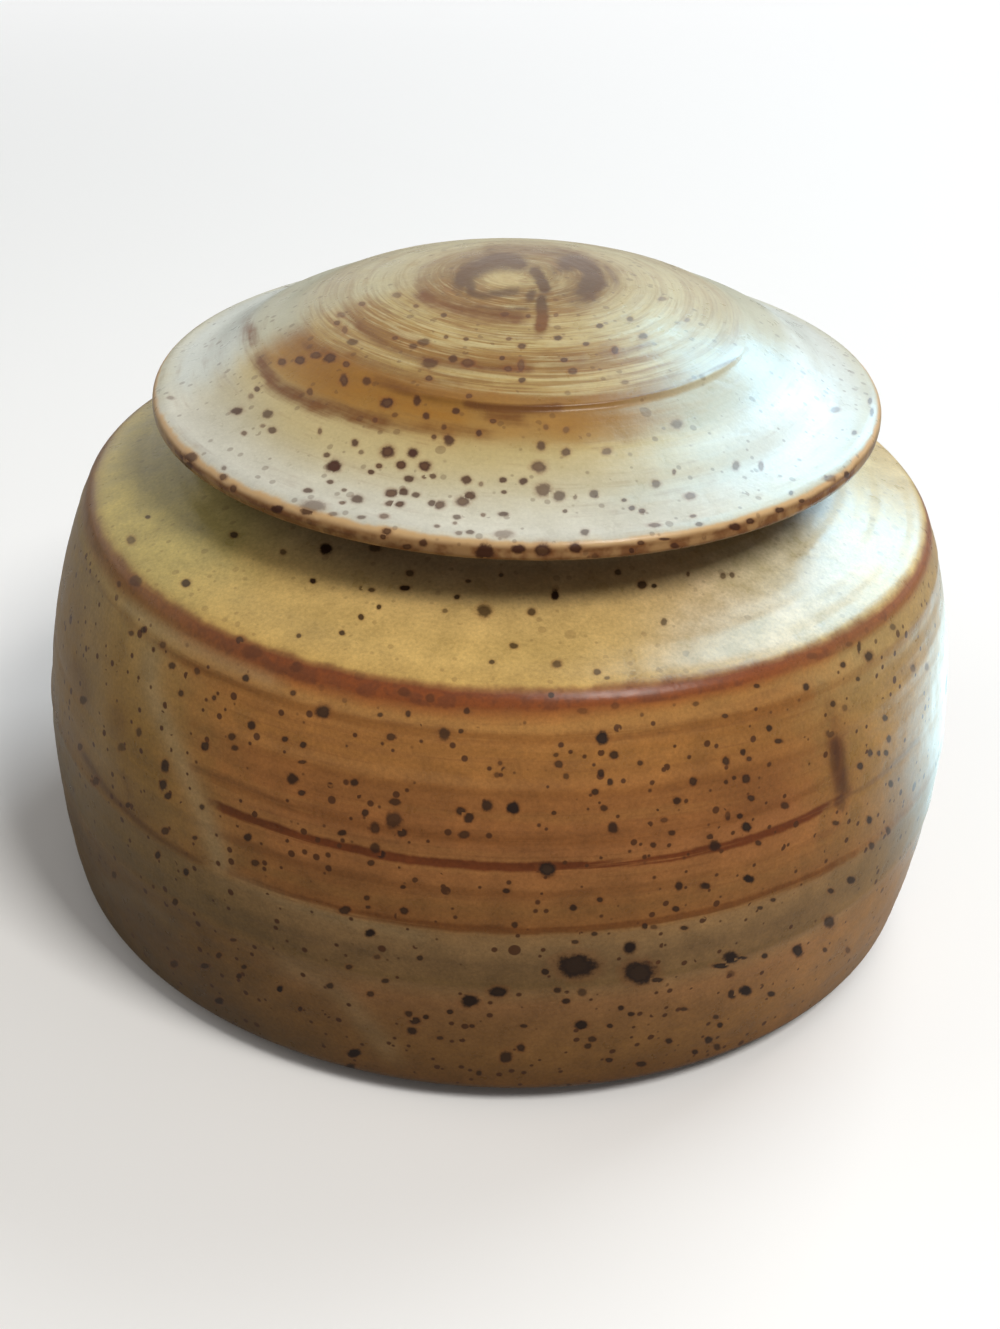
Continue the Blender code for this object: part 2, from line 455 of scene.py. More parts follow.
def brushed(thrown, rows, strokes):
    """How strongly brush strokes, drawn in the photograph's pixels, colour each place.

    A stroke is its path, its width and its strength. It fades as a bell of the distance from
    the path, and thins out towards both ends. Where strokes cross, the stronger one counts.
    """
    seen = thrown.seen(rows)
    spots = np.stack([thrown.x[seen], thrown.y[seen]], axis=1)
    strongest = np.zeros(len(spots))
    for path, width, strength in strokes:
        points = corner_cut(path)
        start, way = points[:-1], np.diff(points, axis=0)
        length = np.linalg.norm(way, axis=1)
        before = np.cumsum(length) - length
        offset = spots[:, None] - start
        share = np.clip((offset * way).sum(2) / length ** 2, 0, 1)
        distance = np.linalg.norm(offset - share[..., None] * way, axis=2)
        nearest = distance.argmin(axis=1)[:, None]
        along = np.take_along_axis(before + share * length, nearest, axis=1)[:, 0]
        from_end = np.minimum(along, length.sum() - along) / min(1.1 * width, 0.5 * length.sum())
        level = strength * bell(distance.min(axis=1), 0, width * 0.6)
        strongest = np.maximum(strongest, level * (0.3 + 0.7 * step(0, 1, from_end)))
    values = np.zeros(seen.shape)
    values[seen] = strongest
    return values


# Iron spots

class Spots:
    """Round and oval iron spots on a surface.

    Each has a centre and three rows that take an offset from the centre to a place where the
    spot is a ball of radius 1: two along the surface, and one along its normal.
    """

    def __init__(self):
        self.centres = []
        self.shapes = []
        self.kinds = []

    def add(self, centre, shape, strength, chance):
        self.centres.append(centre)
        self.shapes.append(shape)
        self.kinds.append((strength, chance))

    def from_photograph(self, thrown, rows, picked, dice):
        """Adds spots picked in the photograph, each x, y, width, height and strength."""
        seen = np.argwhere(thrown.seen(rows))
        x, y = thrown.x[tuple(seen.T)], thrown.y[tuple(seen.T)]
        for spot_x, spot_y, width, height, strength in picked:
            row, column = seen[np.argmin((x - spot_x) ** 2 + (y - spot_y) ** 2)]
            place = thrown.places[row, column]
            ways = thrown.ways(row, column)
            steps = np.concatenate([place[None], place + ways * MM])
            pixel_x, pixel_y = to_pixels(steps)
            slope = np.stack([pixel_x[1:] - pixel_x[0], pixel_y[1:] - pixel_y[0]]) / MM
            missed = np.array([spot_x - pixel_x[0], spot_y - pixel_y[0]])
            centre = place + np.linalg.solve(slope, missed) @ ways
            flat = (slope @ ways) / (np.array([[width], [height]]) / 2)
            upright = thrown.normals[row, column] * np.linalg.norm(flat, axis=1).mean()
            self.add(centre, np.vstack([flat, upright]), strength, dice.random())

    def scattered(self, thrown, allowed, count, sizes, dice):
        """Adds seeded spots at random places, evenly by area, most of them small."""
        length = np.gradient(thrown.run) * thrown.radius
        weight = np.broadcast_to(allowed * length[:, None], thrown.places.shape[:2])
        weight = weight.ravel() / weight.sum()
        smallest, largest = sizes
        for pick in dice.choice(weight.size, count, p=weight):
            row, column = divmod(int(pick), COLUMNS)
            size = smallest * (largest / smallest) ** (dice.random() ** 2.2)
            stretch = dice.uniform(0.75, 1.1)
            shape = np.stack([
                thrown.arounds[column] * 2 / size,
                thrown.downs[row, column] * 2 / (size * stretch),
                thrown.normals[row, column] * 2 / size,
            ]) / MM
            jitter = dice.uniform(-0.5, 0.5, 2) * (1.0, 0.4) * MM
            centre = thrown.places[row, column] + jitter @ thrown.ways(row, column)
            self.add(centre, shape, dice.uniform(0.7, 1), dice.random())

    def lay_on(self, piece):
        """Writes the nearest spot's own coordinates, and its kind, on each face's corners.

        A face takes one spot, so the coordinates stay straight across it. Nearest is least in
        the spot's own measure, so a large spot reaches further than a small one, and a spot
        on the other side of a thin edge is left out.
        """
        mesh = piece.data
        places = read_all(mesh.vertices, "co", np.float32, 3).reshape(-1, 3)
        starts = read_all(mesh.polygons, "loop_start", np.int32)
        sizes = read_all(mesh.polygons, "loop_total", np.int32)
        at_corner = places[read_all(mesh.loops, "vertex_index", np.int32)].astype(float)
        middle = np.add.reduceat(at_corner, starts) / sizes[:, None]
        nearest = np.full(len(middle), np.inf)
        chosen = np.zeros(len(middle), int)
        for k, (centre, shape) in enumerate(zip(self.centres, self.shapes)):
            local = (middle - centre) @ shape.T
            measure = (local ** 2).sum(1)
            measure[np.abs(local[:, 2]) > 1.5] = np.inf
            nearer = measure < nearest
            nearest[nearer] = measure[nearer]
            chosen[nearer] = k
        chosen = np.repeat(chosen, sizes)
        offset = at_corner - np.array(self.centres)[chosen]
        local = np.einsum("cij,cj->ci", np.array(self.shapes)[chosen], offset)
        far = np.repeat(nearest > FAR_SPOT ** 2, sizes)
        local[far] = FAR_SPOT
        add_map(mesh, "spot", local[:, :2])
        add_map(mesh, "spot_kind", np.array(self.kinds)[chosen])


# How many of its own radii a spot's coordinates reach, past which no place takes them
FAR_SPOT = 6

# Where the photograph shows iron spots, in its pixels: x, y, width, height and strength
JAR_SPOTS = (
    (577, 966, 42, 25, 1), (640, 973, 33, 24, 1), (657, 980, 13, 6, 0.9), (630, 948, 14, 13, 1),
    (731, 958, 17, 13, 1), (721, 966, 18, 6, 1), (742, 958, 12, 4, 0.9), (547, 869, 18, 17, 1),
    (498, 992, 20, 11, 1), (470, 1001, 20, 13, 1), (545, 972, 8, 7, 0.9), (557, 990, 8, 6, 0.8),
    (582, 992, 10, 9, 0.7), (566, 1001, 9, 6, 0.9), (581, 1025, 14, 9, 1), (450, 1012, 7, 5, 0.9),
    (472, 1026, 6, 4, 0.8), (440, 1038, 7, 4, 0.8), (506, 1057, 13, 12, 0.9), (521, 1048, 9, 8, 0.9),
    (524, 1026, 8, 4, 0.8), (479, 1073, 7, 6, 0.8), (610, 1026, 7, 5, 0.9), (621, 1008, 7, 6, 0.9),
    (631, 1014, 8, 5, 0.9), (592, 1039, 9, 6, 0.8), (588, 1046, 8, 6, 0.8), (609, 1060, 8, 5, 0.9),
    (641, 1064, 12, 6, 0.9), (669, 1041, 8, 6, 0.9), (695, 1052, 7, 5, 0.9), (709, 1040, 9, 8, 0.9),
    (717, 1047, 8, 7, 0.8), (720, 1025, 7, 6, 0.9), (716, 1017, 7, 5, 0.8), (684, 1009, 9, 5, 0.8),
    (732, 994, 8, 10, 0.9), (745, 991, 13, 11, 1), (731, 974, 8, 7, 0.5), (765, 956, 7, 6, 0.9),
    (771, 994, 8, 6, 0.9), (798, 951, 11, 12, 1), (825, 950, 5, 5, 0.8), (829, 922, 11, 13, 0.9),
    (848, 950, 5, 7, 0.6), (684, 928, 8, 5, 0.9), (760, 908, 6, 4, 0.8), (773, 900, 6, 4, 0.8),
    (409, 1014, 9, 7, 0.8), (415, 1021, 12, 8, 0.9), (412, 1031, 12, 8, 0.9), (426, 1017, 7, 5, 0.9),
    (354, 1053, 14, 10, 1), (350, 1067, 12, 6, 0.9), (330, 986, 8, 6, 0.8), (280, 989, 7, 7, 1),
    (371, 994, 8, 6, 0.8), (385, 981, 8, 6, 0.8), (349, 967, 7, 5, 0.8), (377, 957, 7, 5, 0.6),
    (205, 966, 11, 6, 0.8), (174, 964, 8, 8, 0.7), (219, 955, 6, 6, 0.8), (244, 967, 6, 5, 0.8),
    (239, 976, 6, 6, 0.8), (219, 1001, 9, 8, 0.9), (186, 872, 6, 8, 0.9), (175, 902, 6, 7, 0.8),
    (233, 940, 7, 4, 0.7), (114, 875, 6, 9, 0.7), (300, 1009, 5, 5, 0.8), (370, 933, 11, 9, 1),
    (345, 910, 14, 8, 0.9), (255, 863, 9, 7, 0.8), (420, 958, 7, 6, 0.8), (404, 911, 10, 8, 0.9),
    (367, 898, 7, 6, 0.8), (368, 907, 6, 5, 0.8), (396, 916, 5, 6, 0.6), (515, 925, 7, 6, 0.8),
    (573, 908, 9, 7, 0.9), (600, 900, 7, 6, 0.9), (575, 942, 9, 5, 0.8), (594, 934, 7, 5, 0.8),
    (645, 926, 7, 6, 0.9), (654, 927, 8, 5, 0.6), (676, 909, 8, 6, 0.9), (679, 886, 8, 9, 0.9),
    (705, 886, 12, 7, 0.9), (749, 879, 12, 9, 1), (851, 880, 9, 8, 0.9), (831, 891, 7, 6, 0.9),
    (506, 891, 8, 6, 0.9), (415, 880, 6, 5, 0.7), (403, 887, 6, 5, 0.8), (371, 863, 8, 6, 0.8),
    (375, 848, 12, 13, 0.8), (381, 854, 10, 9, 0.9), (714, 846, 14, 12, 0.9), (710, 837, 8, 7, 0.8),
    (758, 843, 7, 6, 0.8), (747, 827, 11, 11, 1), (740, 816, 7, 6, 0.9), (785, 806, 9, 8, 0.8),
    (751, 798, 8, 7, 0.9), (677, 801, 9, 8, 0.9), (728, 816, 6, 10, 0.6), (746, 779, 9, 10, 0.9),
    (726, 782, 5, 5, 0.8), (734, 778, 5, 5, 0.8), (693, 781, 9, 10, 0.9), (726, 761, 8, 9, 0.9),
    (743, 752, 6, 7, 0.9), (749, 759, 6, 5, 0.8), (769, 728, 7, 7, 0.9), (779, 741, 9, 6, 0.9),
    (725, 716, 7, 5, 0.8), (613, 828, 12, 12, 0.9), (604, 808, 8, 7, 0.8), (595, 792, 8, 7, 0.9),
    (610, 782, 7, 7, 0.9), (601, 773, 8, 9, 0.9), (614, 755, 9, 9, 0.9), (602, 738, 15, 15, 1),
    (559, 764, 9, 8, 0.8), (566, 776, 7, 7, 0.7), (556, 755, 6, 5, 0.7), (640, 763, 7, 6, 0.8),
    (672, 833, 8, 6, 0.8), (653, 845, 7, 6, 0.8), (664, 820, 8, 5, 0.6), (554, 813, 6, 5, 0.8),
    (513, 808, 14, 14, 1), (487, 806, 12, 12, 0.9), (461, 811, 10, 10, 0.9), (469, 818, 11, 11, 0.9),
    (464, 835, 11, 9, 0.8), (395, 802, 12, 8, 0.8), (393, 820, 18, 16, 0.8), (375, 828, 11, 12, 0.8),
    (402, 833, 11, 9, 0.9), (365, 813, 8, 8, 0.9), (497, 775, 7, 6, 0.6), (500, 763, 5, 5, 0.6),
    (444, 734, 13, 14, 0.8), (391, 737, 9, 8, 0.8), (461, 731, 6, 5, 0.8), (354, 783, 10, 9, 0.9),
    (342, 833, 10, 7, 0.9), (323, 712, 17, 14, 0.9), (292, 779, 13, 13, 0.9), (302, 793, 8, 6, 0.9),
    (302, 762, 10, 4, 0.8), (285, 739, 7, 6, 0.9), (303, 745, 7, 7, 0.9), (293, 693, 6, 6, 0.8),
    (251, 725, 9, 10, 0.9), (246, 678, 8, 8, 0.9), (248, 837, 9, 8, 0.9), (232, 737, 9, 8, 0.8),
    (235, 748, 8, 7, 0.8), (214, 698, 5, 6, 0.8), (205, 746, 9, 9, 0.9), (202, 807, 6, 6, 0.8),
    (181, 693, 6, 7, 0.8), (172, 666, 7, 8, 0.8), (197, 671, 6, 8, 0.7), (163, 645, 7, 8, 0.6),
    (143, 630, 6, 7, 0.8), (131, 633, 6, 6, 0.7), (165, 766, 9, 14, 0.9), (163, 785, 8, 12, 0.9),
    (168, 796, 8, 7, 0.9), (139, 732, 6, 10, 0.7), (122, 747, 8, 9, 0.6), (128, 805, 5, 6, 0.8),
    (165, 831, 8, 8, 0.8), (195, 838, 6, 5, 0.8), (158, 855, 6, 8, 0.9), (83, 700, 8, 9, 0.7),
    (80, 747, 5, 8, 0.7), (96, 781, 7, 9, 0.7), (869, 656, 9, 11, 0.9), (859, 647, 4, 13, 0.8),
    (843, 665, 6, 7, 0.9), (858, 679, 5, 5, 0.8), (806, 687, 7, 9, 0.9), (893, 627, 6, 7, 0.6),
    (833, 704, 6, 7, 0.8), (845, 708, 6, 7, 0.5), (885, 718, 6, 7, 0.8), (889, 739, 5, 8, 0.8),
    (870, 753, 5, 9, 0.8), (879, 753, 5, 6, 0.8), (886, 753, 5, 6, 0.8), (860, 766, 7, 8, 0.9),
    (891, 784, 5, 8, 0.8), (869, 820, 7, 9, 0.9), (888, 831, 5, 9, 0.8), (872, 846, 6, 8, 0.8),
    (836, 823, 7, 6, 0.8), (927, 667, 4, 8, 0.5), (913, 668, 5, 8, 0.5),
    (326, 549, 14, 13, 1), (484, 611, 15, 14, 0.8), (555, 595, 9, 11, 1), (532, 612, 9, 8, 0.8),
    (557, 664, 10, 8, 0.7), (597, 672, 8, 6, 0.7), (607, 678, 6, 4, 0.6), (514, 646, 10, 7, 0.8),
    (492, 662, 7, 5, 0.8), (664, 622, 7, 8, 0.7), (723, 576, 6, 6, 0.6), (732, 575, 5, 6, 0.7),
    (654, 586, 6, 5, 0.9), (642, 585, 10, 8, 0.9), (688, 574, 4, 5, 0.7), (618, 572, 7, 7, 0.8),
    (405, 588, 11, 6, 1), (372, 590, 7, 5, 0.8), (361, 588, 4, 5, 0.6), (313, 581, 7, 6, 1),
    (186, 583, 10, 9, 0.9), (342, 633, 7, 6, 0.9), (299, 636, 6, 5, 0.8), (361, 617, 6, 6, 0.9),
    (379, 607, 5, 5, 0.9), (234, 535, 9, 7, 0.9), (283, 552, 7, 6, 0.7), (148, 517, 6, 4, 0.8),
    (131, 540, 9, 9, 0.6), (457, 597, 6, 5, 0.9), (468, 581, 6, 4, 0.7), (445, 611, 6, 5, 0.6),
    (375, 548, 14, 8, 0.7), (410, 573, 8, 7, 0.7), (501, 575, 5, 4, 0.7), (551, 695, 7, 6, 0.9),
    (240, 640, 9, 8, 0.8), (252, 652, 22, 15, 0.4), (296, 667, 14, 12, 0.4), (404, 692, 14, 10, 0.5),
    (430, 698, 9, 10, 0.5), (467, 711, 7, 7, 0.8), (408, 714, 6, 7, 0.8), (380, 715, 7, 5, 0.8),
    (583, 711, 12, 7, 0.4), (615, 706, 9, 7, 0.4), (757, 686, 7, 5, 0.8), (696, 704, 7, 5, 0.6),
    (812, 656, 12, 7, 0.4), (849, 644, 8, 6, 0.4), (135, 581, 14, 12, 0.6), (119, 584, 5, 7, 0.6),
    (835, 756, 11, 44, 0.35), (840, 803, 12, 18, 0.4), (830, 734, 9, 8, 0.6),
)
LID_SPOTS = (
    (334, 466, 16, 13, 1), (388, 452, 15, 12, 1), (413, 453, 12, 12, 1), (401, 465, 11, 9, 1),
    (379, 466, 7, 5, 0.9), (371, 472, 7, 5, 0.9), (355, 443, 8, 8, 0.9), (327, 455, 7, 5, 0.8),
    (361, 452, 6, 5, 0.6), (330, 482, 7, 5, 0.8), (308, 491, 10, 6, 0.8), (344, 490, 6, 4, 0.7),
    (357, 499, 13, 9, 0.8), (409, 479, 11, 7, 0.9), (391, 493, 13, 9, 0.9), (404, 492, 10, 8, 0.9),
    (416, 495, 9, 6, 0.8), (390, 503, 12, 6, 0.8), (400, 504, 10, 7, 0.9), (342, 503, 7, 4, 0.7),
    (384, 516, 10, 6, 0.6), (361, 517, 10, 4, 0.6), (333, 514, 10, 4, 0.5), (237, 411, 13, 8, 0.9),
    (268, 414, 11, 9, 0.8), (272, 430, 10, 7, 0.8), (257, 389, 6, 6, 0.8), (251, 396, 6, 6, 0.5),
    (244, 433, 6, 5, 0.7), (263, 426, 6, 4, 0.5), (320, 431, 5, 7, 0.7), (171, 398, 8, 4, 0.4),
    (277, 509, 13, 9, 1), (313, 506, 26, 11, 0.5), (307, 511, 15, 8, 0.9), (190, 457, 15, 10, 0.8),
    (188, 466, 11, 10, 0.9), (223, 477, 9, 7, 0.8), (233, 489, 7, 8, 0.8), (224, 468, 6, 5, 0.6),
    (387, 531, 10, 8, 0.9), (383, 537, 6, 5, 0.9), (407, 547, 10, 6, 0.9), (423, 543, 9, 9, 0.9),
    (449, 440, 11, 11, 0.9), (434, 437, 6, 5, 0.8), (425, 466, 13, 10, 1), (433, 476, 7, 5, 0.8),
    (424, 477, 5, 4, 0.7), (444, 427, 6, 6, 0.7), (479, 433, 7, 7, 0.9), (466, 480, 11, 8, 0.9),
    (470, 496, 12, 9, 0.9), (463, 501, 14, 10, 0.8), (432, 503, 9, 7, 0.8), (440, 505, 11, 9, 0.8),
    (457, 517, 9, 6, 0.7), (455, 523, 5, 4, 0.5), (437, 526, 6, 4, 0.6), (470, 532, 9, 5, 0.7),
    (459, 533, 8, 4, 0.5), (503, 480, 9, 6, 0.9), (523, 481, 9, 7, 0.9), (504, 492, 6, 4, 0.8),
    (481, 484, 5, 5, 0.5), (503, 514, 11, 6, 0.8), (483, 515, 5, 4, 0.6), (504, 534, 20, 8, 0.4),
    (541, 446, 10, 10, 0.8), (539, 467, 16, 11, 0.8), (566, 452, 9, 9, 0.8), (607, 451, 11, 8, 0.6),
    (543, 490, 16, 13, 0.7), (559, 496, 13, 11, 0.7), (594, 494, 9, 8, 0.7), (575, 497, 4, 5, 0.5),
    (565, 511, 5, 4, 0.7), (585, 532, 9, 8, 0.7), (656, 484, 10, 8, 0.6), (674, 472, 4, 5, 0.6),
    (642, 511, 7, 5, 0.7), (632, 508, 7, 6, 0.7), (624, 500, 6, 4, 0.7), (655, 525, 13, 5, 0.6),
    (690, 496, 12, 8, 0.5), (693, 516, 7, 4, 0.6), (699, 524, 8, 4, 0.6), (677, 424, 12, 10, 0.5),
    (566, 430, 8, 7, 0.5), (546, 427, 6, 6, 0.5), (493, 421, 7, 5, 0.8), (791, 493, 5, 5, 0.6),
    (854, 433, 5, 5, 0.6), (736, 466, 7, 9, 0.5), (761, 466, 5, 9, 0.4), (835, 410, 10, 6, 0.4),
    (872, 412, 4, 9, 0.6), (870, 401, 4, 7, 0.6),
    (485, 552, 20, 15, 1), (518, 549, 16, 10, 1), (543, 551, 18, 13, 1), (576, 548, 14, 11, 1),
    (641, 543, 8, 5, 0.9), (675, 546, 9, 5, 0.9), (632, 551, 6, 5, 0.9), (735, 527, 12, 7, 1),
    (750, 521, 9, 6, 1), (780, 510, 10, 6, 1), (802, 501, 6, 4, 0.9), (847, 475, 6, 8, 0.9),
    (830, 478, 14, 6, 0.5), (665, 539, 14, 3, 0.9), (595, 556, 8, 5, 0.6),
    (282, 362, 9, 8, 0.8), (300, 360, 11, 9, 0.9), (316, 355, 12, 8, 0.8), (330, 358, 14, 9, 0.9),
    (346, 364, 8, 6, 0.8), (344, 380, 10, 12, 0.9), (367, 381, 10, 9, 0.8), (310, 392, 7, 8, 0.7),
    (387, 403, 14, 11, 1), (417, 401, 9, 12, 0.9), (426, 416, 8, 8, 0.9), (456, 411, 8, 7, 0.9),
    (395, 415, 7, 5, 0.6), (375, 420, 6, 6, 0.6), (352, 342, 12, 7, 0.7), (341, 315, 10, 6, 0.5),
    (337, 323, 7, 5, 0.7), (345, 330, 6, 8, 0.5), (362, 304, 8, 5, 0.6), (397, 295, 10, 6, 0.5),
    (395, 338, 7, 4, 0.7), (416, 306, 6, 4, 0.6), (413, 346, 10, 6, 0.7), (424, 342, 14, 8, 0.7),
    (430, 363, 17, 12, 0.7), (429, 378, 8, 6, 0.8), (453, 359, 10, 8, 0.8), (468, 363, 14, 9, 0.7),
    (444, 315, 7, 5, 0.7), (446, 337, 5, 4, 0.7), (466, 339, 6, 4, 0.7), (509, 339, 6, 4, 0.6),
    (502, 358, 6, 5, 0.8), (522, 346, 9, 6, 0.8), (508, 369, 9, 6, 0.7), (521, 365, 8, 12, 0.6),
    (522, 380, 8, 6, 0.8), (558, 338, 10, 6, 0.8), (564, 360, 8, 5, 0.8), (573, 371, 11, 7, 0.7),
    (586, 344, 7, 4, 0.7), (600, 326, 8, 5, 0.7), (630, 319, 7, 5, 0.6), (615, 350, 8, 9, 0.7),
    (643, 336, 10, 6, 0.6), (625, 382, 8, 5, 0.4), (469, 396, 7, 5, 0.7), (505, 314, 9, 5, 0.5),
    (528, 316, 5, 4, 0.6), (556, 315, 5, 4, 0.5), (662, 299, 9, 4, 0.4), (687, 320, 6, 4, 0.4),
)

# Brush strokes in the photograph's pixels: path, width and strength
LID_STROKES = {
    "iron_and_shade": (
        (((459, 293), (459, 283), (467, 274), (480, 267), (494, 262), (512, 261), (530, 268)), 15, 1.0),
        (((528, 266), (540, 277), (545, 288), (543, 298)), 10, 0.95),
        (((463, 288), (478, 283)), 18, 0.8),
        (((524, 292), (538, 299)), 14, 0.85),
        (((542, 290), (541, 306), (543, 320), (538, 336)), 10, 1.0),
        (((462, 292), (486, 296), (508, 292), (524, 290)), 9, 0.6),
        (((555, 274), (564, 263), (578, 261), (590, 268), (597, 280), (592, 292), (576, 299)), 16, 0.9),
        (((574, 270), (590, 278), (584, 292), (568, 292)), 18, 0.75),
        (((600, 262), (614, 274), (617, 288)), 8, 0.35),
        (((478, 252), (510, 247), (545, 248), (580, 254)), 12, 0.35),
        (((412, 284), (424, 297), (446, 306), (472, 312), (500, 317), (534, 316)), 16, 0.58),
        (((470, 306), (500, 311), (532, 309)), 6, 0.5),
        (((420, 268), (428, 284), (444, 294), (462, 300)), 14, 0.22),
        (((336, 322), (350, 318), (362, 326)), 12, 0.25),
        (((350, 318), (370, 335), (394, 350), (428, 362), (478, 368), (540, 368)), 11, 0.5),
        (((405, 358), (430, 364), (452, 362)), 14, 0.35),
        (((540, 368), (580, 366), (622, 354), (660, 338)), 12, 0.3),
        (((590, 350), (612, 354), (624, 348)), 12, 0.3),
        (((330, 342), (362, 362), (400, 376), (440, 382), (500, 382)), 8, 0.3),
        (((368, 376), (398, 388), (430, 396), (470, 402)), 10, 0.4),
        (((296, 342), (318, 350), (346, 356)), 10, 0.3),
        # These three strokes are painted shade: a dark line along the ledge's step, where it overhangs,
        # and the shadow just under it.
        (((460, 402), (480, 406), (500, 409), (532, 409), (566, 406)), 8, 1.0),
        (((474, 412), (506, 417), (532, 415)), 15, 0.55),
        (((560, 407), (620, 401), (680, 386), (738, 357)), 3, 0.5),
        (((256, 346), (263, 368), (276, 384), (300, 398), (330, 409), (366, 419), (400, 425)), 15, 0.62),
        (((249, 314), (250, 332), (257, 354)), 15, 0.6),
        (((350, 415), (400, 426), (440, 431), (500, 434)), 13, 0.42),
    ),
    # On the lid these strokes are the glaze's own pale middle of the hook.
    "cream_and_sheen": (
        (((480, 281), (505, 278), (528, 281)), 13, 1.0),
        (((556, 286), (568, 280)), 9, 0.6),
    ),
    "honey": (
        (((286, 362), (320, 380), (360, 394), (400, 406), (440, 416), (490, 424)), 40, 0.9),
        (((440, 424), (500, 430), (560, 427), (600, 419)), 26, 0.6),
        (((420, 284), (440, 300), (480, 312), (530, 316)), 34, 0.4),
        (((350, 330), (400, 362), (470, 378), (540, 380)), 36, 0.28),
    ),
    "khaki": (
        (((256, 378), (280, 412), (315, 434), (370, 446), (440, 452), (510, 452), (580, 446)), 54, 0.85),
    ),
}
JAR_STROKES = {
    "pale": (
        (((96, 560), (93, 640), (96, 720), (108, 780)), 22, 0.5),
        (((150, 640), (150, 690), (165, 724), (178, 756), (196, 796), (212, 836), (226, 880)), 18, 0.85),
        (((230, 876), (285, 902), (340, 920), (430, 938)), 10, 0.5),
        (((120, 600), (160, 628), (210, 656), (280, 684)), 12, 0.6),
        (((270, 960), (310, 974), (345, 996), (365, 1024), (400, 1062)), 18, 0.5),
        (((90, 880), (140, 900), (185, 935)), 14, 0.4),
    ),
    # These strokes on the jar are painted sheen: the shoulder's right is painted pale off-white where the
    # window's reflection falls.
    "cream_and_sheen": (
        (((640, 700), (690, 668), (730, 640), (780, 600), (830, 560), (885, 505)), 96, 0.9),
    ),
    "iron_and_shade": (
        (((832, 728), (838, 752), (841, 782), (845, 806)), 17, 0.85),
        (((830, 700), (835, 740), (842, 780), (846, 812)), 26, 0.4),
        (((828, 690), (830, 712), (834, 735)), 14, 0.45),
        (((842, 798), (866, 787), (890, 768), (922, 735)), 6, 0.45),
        (((700, 812), (760, 800), (812, 776)), 50, 0.42),
        (((112, 690), (120, 715), (118, 745)), 22, 0.4),
        (((80, 748), (104, 788), (130, 814), (156, 838), (206, 866)), 7, 0.6),
        (((120, 768), (128, 786), (132, 804)), 7, 0.35),
        (((70, 648), (82, 680), (90, 712)), 18, 0.4),
        (((185, 765), (218, 776), (244, 786), (300, 812)), 8, 0.45),
        (((200, 798), (220, 806), (250, 820), (290, 832)), 9, 0.4),
        (((150, 640), (190, 664), (240, 684), (270, 696)), 9, 0.4),
    ),
}


# The jar. From here to the end of the glazes lengths are in millimetres, and sides are angles
# round the axis in degrees, 0 at the front and growing to the right

def jar_relief(jar, outside):
    """How proud the jar's skin stands, in millimetres, from the potter's hand.

    Throwing rings are sines of the run down the wall, whose phase turns once round the jar, so
    they climb as a spiral. The grey slip is a little proud, with a fine bead along its edges.
    """
    turn, run = jar.turn[None], jar.run[:, None]
    height = jar.height[:, None] + waves(jar.turn, (2, 0.2, 0.5), (3, 0.12, 2.0))
    spiral = 0.035 * np.sin(2 * np.pi * run / 5.1 + turn) + 0.02 * np.sin(2 * np.pi * run / 2.3 + turn)
    patchy = 0.6 + 0.4 * np.sin(2 * turn + 0.11 * run)
    round_off = waves(turn, (2, 0.10, 1.0), (3, 0.06, 0.2), (5, 0.03, 2.4))
    slip = 0.09 * step(18.2, 19.0, height) * step(27.2, 26.4, height)
    beads = 0.10 * bell(height, 26.1, 0.5) + 0.07 * bell(height, 18.5, 0.5)
    edge = 0.08 * bell(height, 48.9, 0.6) - 0.06 * bell(height, 34.5, 0.35)
    return outside[:, None] * (spiral * patchy + round_off + slip + beads + edge)


